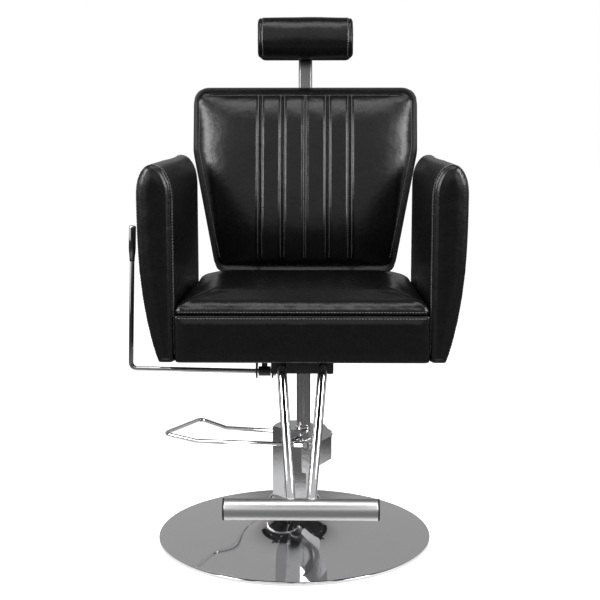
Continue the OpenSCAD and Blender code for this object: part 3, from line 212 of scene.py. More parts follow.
leather = make_leather()
print(f"leather: cells of {1000 / GRAIN:.1f} mm")

# %% [markdown]
# ## Thread
# The seams are sewn with a twisted thread. Its grey is much lighter than the leather: partly the
# thread's own colour and partly a painted highlight that stands in for the light on the channels'
# folds. The strands of the twist could be modelled, but each stitch is only half a millimetre
# thick, so a diagonal wave in the colour and the bump is enough.

# %% Thread
TWIST = 1 / (2.2 * MM)
# both greys are lifted above the thread's own colour: a painted highlight for the seams' folds
THREAD_DARK_WITH_HIGHLIGHT = (0.13, 0.13, 0.135)
THREAD_LIGHT_WITH_HIGHLIGHT = (0.28, 0.28, 0.29)


def make_thread():
    material, tree = new_material("grey_thread_painted_highlight")
    twist = node(tree, "ShaderNodeTexWave", {"bands_direction": "DIAGONAL"},
                 {"Vector": stretched(tree, (1, 1, 1)), "Scale": TWIST, "Distortion": 0.5})
    finish_material(tree, {"Base Color": mix_colour(tree, twist, THREAD_DARK_WITH_HIGHLIGHT, THREAD_LIGHT_WITH_HIGHLIGHT),
                           "Roughness": 0.55 + 0.2 * twist,
                           "Normal": bump(tree, twist, 0.12 * MM)})
    return material


thread = make_thread()
print("thread:", thread.name)

# %% [markdown]
# ## Metals
# Chrome plate is a mirror with faint polishing haze, and a cast part that is plated keeps its
# ripples. The piston is ground, its haze drawn out along its length, and its colour is darker
# than chrome: painted shade that stands in for the dark reflections round it. The headrest's
# post is darker still, by the same painted shade. The foot bar is brushed round and round, so
# its reflection runs into a soft band. All of them are one recipe: a noise that is stretched
# along the tool's way gives the haze, and a little of it goes into the bump.

# %% Metals
HAZE_LIFT = 1.06


def make_metal(name, colour, rough, depth, spread, grain, streak=(1, 1, 1)):
    """A metal whose haze and grooves follow a noise drawn out by streak.

    rough is its mean roughness and spread how far the haze moves it, depth the height of its
    grooves or ripples, and grain the size of both."""
    material, tree = new_material(name)
    haze = noise(tree, stretched(tree, streak), 1 / grain, 3.0, 0.55)
    light = tuple(min(1.0, c * HAZE_LIFT) for c in colour)
    finish_material(tree, {"Base Color": mix_colour(tree, haze, colour, light), "Metallic": 1.0,
                           "Roughness": haze * spread + (rough - spread / 2),
                           "Normal": bump(tree, haze, depth, 0.6)})
    return material


chrome = make_metal("chrome", (0.60, 0.60, 0.61), 0.07,
                    depth=0.01 * MM, spread=0.03, grain=40 * MM)
dish_chrome = make_metal("dish_chrome", (0.70, 0.70, 0.71), 0.05,
                         depth=0.02 * MM, spread=0.03, grain=90 * MM)
cast_chrome = make_metal("cast_chrome", (0.56, 0.56, 0.57), 0.12,
                         depth=0.25 * MM, spread=0.10, grain=9 * MM)
# darker than chrome: painted shade for the dark reflections round the piston
piston_steel_painted_shade = make_metal("piston_steel_painted_shade", (0.42, 0.42, 0.425), 0.24,
                          depth=0.05 * MM, spread=0.12, grain=2.2 * MM, streak=(1, 1, 0.02))
# darker still than the piston: painted shade for the dark reflections round the headrest's post
post_steel_painted_shade = make_metal("post_steel_painted_shade", (0.20, 0.20, 0.205), 0.36,
                        depth=0.05 * MM, spread=0.12, grain=2.2 * MM, streak=(1, 1, 0.05))
brushed = make_metal("brushed_foot_bar", (0.74, 0.74, 0.745), 0.38,
                     depth=0.03 * MM, spread=0.10, grain=0.9 * MM, streak=(1, 0.04, 0.04))
zinc = make_metal("zinc_bolt", (0.50, 0.50, 0.51), 0.30,
                  depth=0.06 * MM, spread=0.18, grain=3 * MM)
print("metals:", len(bpy.data.materials), "materials so far")

# %% [markdown]
# ## Paint, rubber, plastic and raw casting
# The brackets under the seat are painted black, the base stands on a rubber ring, the hinge turns
# in plastic bushes, and the ballast is left as it was cast. None of them has a pattern of its own,
# so one recipe does: a colour that varies a little over a bumpy skin, with a clear coat on paint.

# %% Plain finishes
PLAIN_SPREAD = 0.15


def make_plain(name, dark, light, rough, grain, depth, coat=0.0):
    """A colour that varies a little over a bumpy skin."""
    material, tree = new_material(name)
    skin = noise(tree, stretched(tree, (1, 1, 1)), 1 / grain, 3.0, 0.6)
    finish_material(tree, {"Base Color": mix_colour(tree, skin, dark, light),
                           "Roughness": skin * PLAIN_SPREAD + (rough - PLAIN_SPREAD / 2),
                           "Normal": bump(tree, skin, depth, 0.7),
                           "Coat Weight": coat, "Coat Roughness": 0.2})
    return material


black_paint = make_plain("black_paint", (0.008, 0.008, 0.009), (0.016, 0.016, 0.017),
                         0.35, 1.5 * MM, 0.05 * MM, coat=0.3)
rubber = make_plain("black_rubber", (0.010, 0.010, 0.010), (0.025, 0.025, 0.025),
                    0.75, 1.0 * MM, 0.08 * MM)
bush_plastic = make_plain("black_plastic", (0.012, 0.012, 0.012), (0.022, 0.022, 0.022),
                          0.5, 0.8 * MM, 0.03 * MM)
raw_casting = make_plain("raw_casting", (0.035, 0.035, 0.037), (0.075, 0.073, 0.07),
                         0.7, 2.5 * MM, 0.3 * MM)
print("plain finishes:", len(bpy.data.materials), "materials in all")

# %% [markdown]
# ## A finish for every part of the frame
# The CAD nodes come with a slot name for what they are made of. Most take the finish of their
# slot. A few differ from their neighbours of the same metal, such as the plated castings of the
# pump, and are named one by one.

# %% Dress the frame
FINISHES = {"chrome": chrome, "satin_steel": brushed, "zinc_steel": zinc,
            "black_steel": black_paint, "cast_ballast": raw_casting, "black_rubber": rubber,
            "black_plastic": bush_plastic, "black_leather": leather}
SPECIAL = {"pump_head": cast_chrome, "pump_cap": cast_chrome, "pump_skirt": cast_chrome,
           "piston": piston_steel_painted_shade, "headrest_post": post_steel_painted_shade, "base_cover": dish_chrome,
           "gas_cylinder": black_paint}


def dress(obj, material):
    """Gives the whole object one material."""
    obj.data.materials.clear()
    obj.data.materials.append(material)
    obj.data.polygons.foreach_set("material_index", [0] * len(obj.data.polygons))


slots = {s["node"]: s["material_slot"] for s in frame["record"]["subparts"]}
for name, obj in frame["nodes"].items():
    dress(obj, SPECIAL.get(name, FINISHES[slots[name]]))
print("finishes:", sorted(m.name for m in FINISHES.values()))

# %% [markdown]
# ## Helpers for modelling
# Blender's operators work on what is selected, so each helper first selects exactly one object.
# `points` and `move_points` read and write all the corners of a mesh at once.

# %% Modelling helpers
def only(obj):
    """Selects one object and makes it active."""
    if bpy.context.object and bpy.context.object.mode != "OBJECT":
        bpy.ops.object.mode_set(mode="OBJECT")
    bpy.ops.object.select_all(action="DESELECT")
    bpy.context.view_layer.objects.active = obj
    obj.select_set(True)


def points(obj):
    """All corners of the mesh, a row each."""
    co = np.empty(len(obj.data.vertices) * 3)
    obj.data.vertices.foreach_get("co", co)
    return co.reshape(-1, 3)


def move_points(obj, co):
    obj.data.vertices.foreach_set("co", np.asarray(co, float).ravel())
    obj.data.update()


def normals(obj):
    """The outward way at each corner."""
    out = np.empty(len(obj.data.vertices) * 3)
    obj.data.vertices.foreach_get("normal", out)
    return out.reshape(-1, 3)


def edit(obj, select="SELECT"):
    """Edit mode on one object, with all or nothing selected."""
    only(obj)
    bpy.ops.object.mode_set(mode="EDIT")
    bpy.ops.mesh.select_mode(type="VERT")
    bpy.ops.mesh.select_all(action=select)


def leave_edit():
    bpy.ops.object.mode_set(mode="OBJECT")


def modify(obj, kind, **settings):
    """Adds a modifier and applies it."""
    only(obj)
    made = obj.modifiers.new(kind.title(), kind)
    for name, value in settings.items():
        setattr(made, name, value)
    bpy.ops.object.modifier_apply(modifier=made.name)


def smooth(obj, degrees):
    """Smooth shading that stays sharp at edges over so many degrees."""
    only(obj)
    bpy.ops.object.shade_smooth_by_angle(angle=math.radians(degrees))


def settle(obj, name, material, body, slot, *nodes):
    """The last steps for a piece: name, finish, body and the nodes it stands for; slot is not used.
    """
    only(obj)
    bpy.ops.object.transform_apply(location=True, rotation=True, scale=True)
    obj.name = name
    obj.data.name = name
    dress(obj, material)
    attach(obj, body)
    if nodes:
        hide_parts(*nodes)
    print(f"{name}: {len(obj.data.vertices)} points on {body}")
    return obj


def copy_node(name, node_name):
    """A copy of a CAD node with its loose triangles merged."""
    only(frame["nodes"][node_name])
    bpy.ops.object.duplicate(linked=False)
    copy = bpy.context.object
    copy.parent = None
    for key in [k for k in copy.keys() if k.startswith("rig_")]:
        del copy[key]
    copy.name = name
    edit(copy)
    bpy.ops.mesh.remove_doubles(threshold=0.01 * MM)
    leave_edit()
    return copy

# %% [markdown]
# ## Turned parts
# A lathe cuts a profile round an axis. Here a circle is added at the profile's first point, and
# each further ring is an extrude, scaled to its radius and lifted to its height. The ends close
# on the axis or stay open where the profile returns to its start.

# %% Lathe
def lathe(profile, at, segments, closed=False):
    """profile is a list of (radius, height); closed joins its last ring to its first."""
    radius, height = profile[0]
    bpy.ops.object.select_all(action="DESELECT")
    bpy.ops.mesh.primitive_circle_add(vertices=segments, radius=radius, location=(0, 0, height))
    turned = bpy.context.object
    bpy.ops.object.transform_apply(location=True)
    bpy.ops.object.mode_set(mode="EDIT")
    bpy.ops.mesh.select_all(action="SELECT")
    for r, z in profile[1:]:
        bpy.ops.mesh.extrude_edges_move(TRANSFORM_OT_translate={"value": (0, 0, z - height)})
        grow = r / radius
        bpy.ops.transform.resize(value=(grow, grow, 1), center_override=(0, 0, z))
        radius, height = r, z
    bpy.ops.mesh.select_all(action="SELECT")
    if closed:
        bpy.ops.mesh.remove_doubles(threshold=0.001 * MM)
    else:
        bpy.ops.mesh.select_all(action="DESELECT")
        bpy.ops.mesh.select_mode(type="EDGE")
        bpy.ops.mesh.select_non_manifold()
        bpy.ops.mesh.fill()
    bpy.ops.mesh.select_all(action="SELECT")
    bpy.ops.mesh.normals_make_consistent(inside=False)
    bpy.ops.transform.translate(value=(at[0], at[1], 0))
    leave_edit()
    return turned

# %% [markdown]
# ## Base
# The base is a spun steel dish, chromed. From its rolled rim it rises as a very shallow cone and
# then sweeps up to the neck like a trumpet. The sweep is a high power of the distance from the
# rim, so that the wide part stays nearly flat and mirrors the room, and the pump's reflection
# is drawn out into a flare.

# %% Base dish
PUMP = np.array([-20, 8]) * MM
DISH_R = 300 * MM
NECK_R = 49.5 * MM
NECK_Z = 92 * MM
RIM_Z = 8 * MM
RIM_GAP = 1.5 * MM
SHEET = 2 * MM
RIM_ROLL = 1.6 * MM
SLOPE = 0.11  # rise of the cone per length inward
FLARE = 6     # power of the trumpet
NECK_HOLE = 39 * MM


def dish_z(r):
    """A shallow cone from the rim, and a trumpet that takes over towards the neck."""
    inward = DISH_R - r
    whole = DISH_R - NECK_R
    cone = RIM_Z + SLOPE * inward
    return cone + (NECK_Z - RIM_Z - SLOPE * whole) * (inward / whole) ** FLARE


sweep = np.linspace(NECK_R, DISH_R - RIM_ROLL, 72)
rim = [(DISH_R - RIM_ROLL + RIM_ROLL * math.sin(a), RIM_Z - RIM_ROLL + RIM_ROLL * math.cos(a))
       for a in np.radians([22, 45, 68, 90])]
dish_profile = [(NECK_HOLE, NECK_Z)] + [(r, dish_z(r)) for r in sweep] + rim
dish_profile += [(DISH_R, RIM_GAP), (DISH_R - SHEET, RIM_GAP)]
dish_profile += [(DISH_R - SHEET, RIM_Z - SHEET)]
dish_profile += [(r, dish_z(r) - SHEET) for r in np.linspace(DISH_R - 6 * MM, NECK_R, 24)]
dish_profile += [(NECK_HOLE, NECK_Z - SHEET), (NECK_HOLE, NECK_Z)]
dish = lathe(dish_profile, PUMP, 192, closed=True)
smooth(dish, 35)
settle(dish, "base_dish", dish_chrome, "base", "chrome", "base_cover")

# %% [markdown]
# ## Bent tubes
# The pedal, the footrest's legs and the lever are round bars bent in a press. A poly curve runs
# along the centre line, with arcs at its corners, and its round bevel becomes the bar's skin.

# %% Bent tubes
def rounded_path(corners, bend, steps=9):
    """The corners joined by straight runs and arcs of one radius."""
    corners = [Vector(c) for c in corners]
    path = [corners[0]]
    for before, corner, after in zip(corners, corners[1:], corners[2:]):
        into, out = (corner - before).normalized(), (after - corner).normalized()
        turn = into.angle(out)
        cut = bend * math.tan(turn / 2)
        centre = corner + (out - into).normalized() * (bend / math.cos(turn / 2))
        start = corner - into * cut - centre
        for i in range(steps + 1):
            a = turn * i / steps
            path.append(centre + start * math.cos(a) + into * (bend * math.sin(a)))
    return path + [corners[-1]]


def bar(corners, bend, diameter, sides=10, bevelled=0.6 * MM):
    """A round bar along the corners, its ends closed and slightly bevelled."""
    path = rounded_path(corners, bend)
    bpy.ops.object.select_all(action="DESELECT")
    bpy.ops.curve.primitive_bezier_curve_add(location=(0, 0, 0))
    curve = bpy.context.object
    curve.data.splines.clear()
    spline = curve.data.splines.new("POLY")
    spline.points.add(len(path) - 1)
    for point, place in zip(spline.points, path):
        point.co = (*place, 1)
    curve.data.dimensions = "3D"
    curve.data.bevel_depth = diameter / 2
    curve.data.bevel_resolution = sides
    curve.data.use_fill_caps = True
    only(curve)
    bpy.ops.object.convert(target="MESH")
    made = bpy.context.object
    edit(made)
    bpy.ops.mesh.remove_doubles(threshold=0.005 * MM)
    bpy.ops.mesh.normals_make_consistent(inside=False)
    leave_edit()
    modify(made, "BEVEL", width=bevelled, segments=2, limit_method="ANGLE",
           angle_limit=math.radians(60))
    smooth(made, 35)
    return made

# %% [markdown]
# ## Footrest legs
# Two chromed bars come out from under the seat, bend down and run together to the foot bar. They
# are one bar and its mirror image. Two numbers give a bar its look: how far its lower run leans
# back, and the radius of the bend under the seat.

# %% Footrest legs
LEG_D = 19 * MM
LEG_BEND = 14 * MM
LEG_Z = 425 * MM
FOOT_BAR_Y = -380 * MM
FOOT_BAR_Z = 188 * MM
LEG_TOP_X = 41 * MM
LEG_LOW_X = 18 * MM
LEG_IN_Y = -160 * MM
LEG_LEAN = 166 * MM

for side, name in ((-1, "footrest_leg_left"), (1, "footrest_leg_right")):
    corners = [(side * LEG_TOP_X, LEG_IN_Y, LEG_Z),
               (side * LEG_TOP_X, FOOT_BAR_Y + LEG_LEAN, LEG_Z),
               (side * LEG_LOW_X, FOOT_BAR_Y, FOOT_BAR_Z)]
    leg = bar(corners, LEG_BEND, LEG_D)
    settle(leg, name + "_tube", chrome, "seat", "chrome", name)

# %% [markdown]
# ## Foot bar
# A short, fat tube lies across the legs' ends and is closed by two plastic discs. Its edges are
# rolled over, so the primitive cylinder gets its rims bevelled before the caps are set in.

# %% Foot bar
FOOT_BAR_R = 20.5 * MM
FOOT_BAR_HALF = 143 * MM

bpy.ops.object.select_all(action="DESELECT")
bpy.ops.mesh.primitive_cylinder_add(vertices=96, radius=FOOT_BAR_R, depth=2 * FOOT_BAR_HALF,
                                    location=(0, FOOT_BAR_Y, FOOT_BAR_Z),
                                    rotation=(0, math.pi / 2, 0))
foot_bar = bpy.context.object
bpy.ops.object.transform_apply(location=True, rotation=True)
modify(foot_bar, "BEVEL", width=1.2 * MM, segments=3, limit_method="ANGLE",
       angle_limit=math.radians(50))
smooth(foot_bar, 35)
settle(foot_bar, "foot_bar_tube", brushed, "seat", "satin_steel", "foot_bar")

# %% [markdown]
# ## Pedal
# The pump is worked by a thin loop of bar that starts in a hub on one side of the pump, runs out
# to the tread and comes back to the other hub. A foot presses on the tread, so the loop dips to
# its knee and rises again. The corners are written as if the pedal pointed along +X, which keeps
# them mirrored, and then the whole path is turned to where the pedal stands.

# %% Pedal
PEDAL_HEADING = math.radians(153)
PEDAL_TURN = Matrix.Translation((PUMP[0], PUMP[1], 0)) @ Matrix.Rotation(PEDAL_HEADING, 4, "Z")
PEDAL_D = 9.2 * MM
PEDAL_BEND = 13 * MM
SHAFT_X = -55.57 * MM
SHAFT_Z = 224 * MM
HUB_Y = 50.5 * MM
HUB_OUT = 11.5 * MM
KNEE_X = SHAFT_X + 272 * MM
KNEE_Y = 65.6 * MM
KNEE_Z = 202 * MM
TREAD_X = KNEE_X + 78 * MM
TREAD_Y = 75.7 * MM
TREAD_Z = 212 * MM


def pedal_side(side):
    """Hub, knee and tread corner on one side."""
    hub = Vector((SHAFT_X, side * HUB_Y, SHAFT_Z))
    knee = Vector((KNEE_X, side * KNEE_Y, KNEE_Z))
    start = hub + (knee - hub).normalized() * HUB_OUT
    return [start, knee, Vector((TREAD_X, side * TREAD_Y, TREAD_Z))]


loop = pedal_side(1) + pedal_side(-1)[::-1]
pedal = bar([PEDAL_TURN @ p for p in loop], PEDAL_BEND, PEDAL_D, 8, 0.3 * MM)
settle(pedal, "pedal_loop", chrome, "pedal", "chrome", "pedal_bar")

# %% [markdown]
# ## Lever
# A thin rod comes out from under the seat, bends up beside the arm and ends in a grip. Pulling it
# frees the back to recline. The rod rises a little on its way out and its upright leans in by a
# degree or two, as a long bent rod does, so it is three corners and not a right angle.

# %% Lever
LEVER_Y = -100 * MM
LEVER_X = -360 * MM
LEVER_Z = 393 * MM
LEVER_RISE = 5 * MM
LEVER_TOP = 697 * MM
LEVER_TILT = math.radians(1.8)
LEVER_D = 10 * MM
LEVER_BEND = 13 * MM
ROD_X = -100.5 * MM     # where the rod leaves its hub
ROD_LEVEL = 6.5 * MM   # how far it runs level there
ROD_IN_GRIP = 4 * MM   # how far below the grip's top it ends
elbow = Vector((LEVER_X, LEVER_Y, LEVER_Z + LEVER_RISE))
upright = LEVER_TOP - elbow.z
lean_in = Vector((math.sin(LEVER_TILT), 0, math.cos(LEVER_TILT)))
lever_corners = [(ROD_X, LEVER_Y, LEVER_Z), (ROD_X - ROD_LEVEL, LEVER_Y, LEVER_Z), elbow,
                 elbow + lean_in * (upright - ROD_IN_GRIP)]
lever = bar(lever_corners, LEVER_BEND, LEVER_D, 8, 0.3 * MM)
settle(lever, "lever_bar", chrome, "lever", "chrome", "lever_rod")

# %% [markdown]
# ## Lever grip
# The grip is a sleeve pressed onto the rod. It narrows in a soft shoulder to the rod's own width,
# and its top is domed. It is turned upright at the origin, where its profile is easy to write, and
# then set on the rod.

# %% Lever grip
GRIP_R = 7.3 * MM
GRIP_LEN = 46 * MM
GRIP_TAPER = 28 * MM
GRIP_DOME = 3 * MM
shoulder = LEVER_D / 2 + 0.3 * MM
grip_profile = [(LEVER_D / 2 + 0.05 * MM, -GRIP_LEN - GRIP_TAPER)]
for t in np.linspace(0, 1, 9):
    swelling = (GRIP_R - shoulder) * (3 * t * t - 2 * t ** 3)
    grip_profile.append((shoulder + swelling, -GRIP_LEN - GRIP_TAPER * (1 - t) + 0.2 * MM))
for a in np.radians([0, 22, 45, 68, 88]):
    grip_profile.append((GRIP_R - GRIP_DOME * (1 - math.cos(a)), -GRIP_DOME * (1 - math.sin(a))))
grip = lathe(grip_profile, (0, 0), 48)
lean = Matrix.Rotation(LEVER_TILT, 4, "Y")
grip.data.transform(Matrix.Translation(elbow) @ lean @ Matrix.Translation((0, 0, upright)))
smooth(grip, 45)
settle(grip, "lever_sleeve", chrome, "lever", "chrome", "lever_grip")

# %% [markdown]
# ## Piston
# The piston is a ground ram with a small chamfer at its ends. Its length is read from the CAD
# node, so that the drawn ram starts and ends where the real one does.

# %% Piston
PISTON_R = 15 * MM
CHAMFER = 1 * MM
piston_low, piston_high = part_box("piston")
z0, z1 = piston_low.z, piston_high.z
ram = lathe([(PISTON_R - CHAMFER, z0), (PISTON_R, z0 + CHAMFER),
             (PISTON_R, z1 - CHAMFER), (PISTON_R - CHAMFER, z1)], (0, 0), 96)
smooth(ram, 30)
settle(ram, "piston_ram", piston_steel_painted_shade, "piston", "chrome", "piston")

# %% [markdown]
# ## Seal ring
# A collar on the pump's head keeps the piston's oil in. Its outer edge is rounded and its bore
# has a small lead-in, so it is turned from a closed profile that returns to its start.

# %% Seal ring
seal_low, seal_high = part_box("seal_ring")
SEAL_R = seal_high.x
SEAL_ROUND = 1.4 * MM
LEAD_IN = 0.6 * MM
bore = PISTON_R + 0.05 * MM
seal_top = seal_high.z
seal_profile = [(bore, seal_low.z), (SEAL_R, seal_low.z), (SEAL_R, seal_top - SEAL_ROUND)]
for a in np.radians([30, 60, 90]):
    seal_profile.append((SEAL_R - SEAL_ROUND + SEAL_ROUND * math.cos(a),
                         seal_top - SEAL_ROUND + SEAL_ROUND * math.sin(a)))
seal_profile += [(bore + LEAD_IN, seal_top), (bore, seal_top - LEAD_IN), (bore, seal_low.z)]
seal = lathe(seal_profile, (0, 0), 72, closed=True)
smooth(seal, 35)
settle(seal, "piston_collar", chrome, "base", "chrome", "seal_ring")

# %% [markdown]
# ## The back's own frame
# The back and the headrest lean by 12 degrees and turn about a hinge behind the seat. It is easier
# to shape them upright, with their height as Z and the hinge at the origin, and to lean them when
# they are done. Two functions go from one frame to the other.

# %% The back's own frame
BACK_TILT = math.radians(12)
HINGE = Vector((0, 255, 461)) * MM
IN_BACK = Matrix.Translation(HINGE) @ Matrix.Rotation(-BACK_TILT, 4, "X")
BACK_OUT = np.array(IN_BACK)
BACK_IN = np.linalg.inv(BACK_OUT)


def to_world(co):
    """From the back's own frame, +Z up its lean, to the chair's."""
    return np.asarray(co) @ BACK_OUT[:3, :3].T + BACK_OUT[:3, 3]


def to_back(co):
    """From the chair's frame to the back's own."""
    return co @ BACK_IN[:3, :3].T + BACK_IN[:3, 3]


print("hinge at", tuple(round(v, 3) for v in HINGE))

# %% [markdown]
# ## Headrest post
# The headrest's post is a flat oval bar. A cylinder as thick as the bar is cut in two halves in
# mind: one half's points move left and the other's right, and the walls between them stretch into
# the bar's flats. Its lower end stays inside the back at every height of the headrest.

# %% Headrest post
POST_W = 33 * MM
POST_T = 12 * MM
POST_Y = 2 * MM
POST_TOP = 693 * MM
POST_LEN = 236 * MM
bpy.ops.object.select_all(action="DESELECT")
bpy.ops.mesh.primitive_cylinder_add(vertices=64, radius=POST_T / 2, depth=POST_LEN,
                                    location=(0, POST_Y, POST_TOP - POST_LEN / 2))
post = bpy.context.object
bpy.ops.object.transform_apply(location=True)
co = points(post)
co[:, 0] += np.sign(np.round(co[:, 0], 6)) * (POST_W - POST_T) / 2
move_points(post, co)
modify(post, "BEVEL", width=0.8 * MM, segments=2, limit_method="ANGLE",
       angle_limit=math.radians(50))
post.data.transform(IN_BACK)
smooth(post, 35)
settle(post, "headrest_bar", post_steel_painted_shade, "headrest", "chrome", "headrest_post")

# %% [markdown]
# ## Stuffing a cover
# A sewn cover is stiff at its seams and swells between them. Cloth with air pressure does the
# same: the points near a seam are held, the rest is blown up for a few frames, and no point may
# travel further than the real foam would push it.

# %% Stuffing
FRAMES = 20        # how long the air blows
PRESSURE = 4.0
STIFFNESS = 25.0
STILL = 1e-9       # less than this counts as not moved


def voxels(obj, size):
    """An even mesh over the same shape."""
    modify(obj, "REMESH", mode="VOXEL", voxel_size=size, adaptivity=0.0)


def stuff(obj, free, cap):
    """free is 1 where a point may move and 0 where it is sewn down; cap is its longest way."""
    rest = points(obj)
    held = obj.vertex_groups.new(name="held")
    for weight in np.unique(np.round(1 - free, 1)):
        chosen = np.nonzero(np.round(1 - free, 1) == weight)[0]
        held.add([int(i) for i in chosen], float(weight), "REPLACE")
    only(obj)
    cloth = obj.modifiers.new("Cloth", "CLOTH")
    cloth.settings.quality = 5
    cloth.settings.mass = 0.3
    cloth.settings.tension_stiffness = STIFFNESS
    cloth.settings.compression_stiffness = STIFFNESS
    cloth.settings.shear_stiffness = STIFFNESS / 2
    cloth.settings.bending_stiffness = 1.5
    cloth.settings.use_pressure = True
    cloth.settings.uniform_pressure_force = PRESSURE
    cloth.settings.vertex_group_mass = "held"
    cloth.settings.effector_weights.gravity = 0
    cloth.collision_settings.use_collision = False
    cloth.point_cache.frame_start = 1
    cloth.point_cache.frame_end = FRAMES
    for number in range(1, FRAMES + 1):
        bpy.context.scene.frame_set(number)
    bpy.ops.object.modifier_apply(modifier=cloth.name)
    bpy.context.scene.frame_set(1)
    moved = points(obj) - rest
    far_moved = np.linalg.norm(moved, axis=1)
    print(f"{obj.name}: blown up by {far_moved.max() / MM:.1f} mm at most before the cap")
    allowed = cap * np.tanh(far_moved / cap)
    scale = np.where(far_moved > STILL, allowed / np.maximum(far_moved, STILL), 0)
    move_points(obj, rest + moved * (scale * free)[:, None])
    obj.vertex_groups.clear()


def ripple(co, scale, seed):
    """A smooth field of about -1 to 1 over the points: nine waves, always the same for a seed."""
    picked = np.random.default_rng(seed)
    total = np.zeros(len(co))
    for _ in range(9):
        way = picked.normal(size=3)
        way *= picked.uniform(0.6, 1.5) * 2 * math.pi / scale / np.linalg.norm(way)
        total += np.sin(co @ way + picked.uniform(0, 6.28))
    return total / 9 * 1.6


def near_value(distance, width):
    """1 at no distance, falling off like a bell."""
    return np.exp(-(distance / width) ** 2)


def smoothly(t):
    """From 0 to 1 with no corner at either end."""
    t = np.clip(t, 0, 1)
    return t * t * (3 - 2 * t)

# %% [markdown]
# ## Stitches
# A stitch is a short thread with rounded ends that dips into the leather at both ends. One is
# modelled from a ball, flattened and drawn out, and copied along a line on the finished cover.

# %% Stitches
STITCH = 4.6 * MM
STITCH_PITCH = 6.0 * MM
STITCH_W = 0.65 * MM
STITCH_LIFT = 0.25 * MM
PROBE = 1 * MM

bpy.ops.object.select_all(action="DESELECT")
bpy.ops.mesh.primitive_uv_sphere_add(segments=6, ring_count=5, radius=1)
one_stitch = bpy.context.object
stitch_points = points(one_stitch)[:, [2, 0, 1]] * (STITCH / 2, STITCH_W, STITCH_W * 0.8)
stitch_faces = [list(p.vertices) for p in one_stitch.data.polygons]
bpy.data.objects.remove(one_stitch)


def surface_of(obj):
    """A search tree over the finished cover."""
    return BVHTree.FromPolygons([v.co for v in obj.data.vertices],
                                [p.vertices for p in obj.data.polygons])


def sew(name, lines, body):
    """lines is a list of (point, normal) lists; stitches follow each of them."""
    verts, faces = [], []
    for line in lines:
        place = np.array([p for p, _ in line])
        out = np.array([n for _, n in line])
        run = np.concatenate([[0], np.cumsum(np.linalg.norm(np.diff(place, axis=0), axis=1))])
        count = int(run[-1] / STITCH_PITCH)
        for i in range(count):
            at = (i + 0.5) * run[-1] / count
            here, ahead, behind = [np.array([np.interp(at + d, run, place[:, k]) for k in range(3)])
                                   for d in (0, PROBE, -PROBE)]
            up = np.array([np.interp(at, run, out[:, k]) for k in range(3)])
            along = ahead - behind
            along /= np.linalg.norm(along)
            up -= along * (up @ along)
            up /= np.linalg.norm(up)
            basis = np.array([along, np.cross(up, along), up])
            faces += [[len(verts) + k for k in f] for f in stitch_faces]
            verts += list(here + up * STITCH_LIFT + stitch_points @ basis)
    mesh = bpy.data.meshes.new(name)
    mesh.from_pydata([tuple(v) for v in verts], [], faces)
    obj = bpy.data.objects.new(name, mesh)
    bpy.context.scene.collection.objects.link(obj)
    only(obj)
    bpy.ops.object.shade_smooth()
    return settle(obj, name, thread, body, "black_leather")


def cast(tree, starts, way):
    """Where rays from the starts meet the cover, with its normals there."""
    hits = []
    for start in starts:
        place, normal, _, _ = tree.ray_cast(Vector(start), Vector(way))
        if place is not None:
            hits.append((tuple(place), tuple(normal)))
    return hits

# %% [markdown]
# ## Seat cushion
# The seat is a crowned pad whose leather rolls over the front edge down to a welt seam. The
# plain CAD cushion gives the outline; an even mesh over it is held along its lower edge and
# blown up, so that the crown stays highest in the middle and the corners are drawn down.

# %% Seat cushion
SEAT_FRONT = -250 * MM
SEAT_BACK = 230 * MM
SEAT_HALF = 250 * MM
SEAT_LOW = 438 * MM
BOX_TOP = 533 * MM
SIDE_ROOM = SEAT_HALF - 0.6 * MM  # keeps the leather off the arms

seat_pad = copy_node("seat_pad", "seat_cushion")
voxels(seat_pad, 5 * MM)
co = points(seat_pad)
lift = smoothly((co[:, 2] - BOX_TOP - 4 * MM) / (12 * MM))
stuff(seat_pad, lift, cap=4.5 * MM)
modify(seat_pad, "SUBSURF", levels=1, render_levels=1)
co = points(seat_pad)
up = smoothly((co[:, 2] - BOX_TOP - 8 * MM) / (15 * MM))
edge = np.minimum(SEAT_HALF - np.abs(co[:, 0]),
                  np.minimum(co[:, 1] - SEAT_FRONT, SEAT_BACK - co[:, 1]))
pucker = near_value(edge, 40 * MM) * up
long_waves = ripple(co, 150 * MM, 3) * 0.8 * MM * up
wrinkles = ripple(co * (1, 0.35, 1), 26 * MM, 4) * 0.45 * MM * pucker
co += normals(seat_pad) * (long_waves + wrinkles)[:, None]
co[:, 0] = np.clip(co[:, 0], -SIDE_ROOM, SIDE_ROOM)
co[:, 2] = np.maximum(co[:, 2], BOX_TOP + 0.3 * MM)
move_points(seat_pad, co)
smooth(seat_pad, 80)
settle(seat_pad, "seat_pad", leather, "seat", "black_leather", "seat_cushion")

# %% [markdown]
# ## Seat box
# Under the pad is a covered frame. Its front panel is leather pulled over thin foam, so it is
# almost flat, with soft corners and a faint swell. An even mesh over a copy of the CAD box is
# rounded off, so that every edge gets the radius of the foam under the leather.

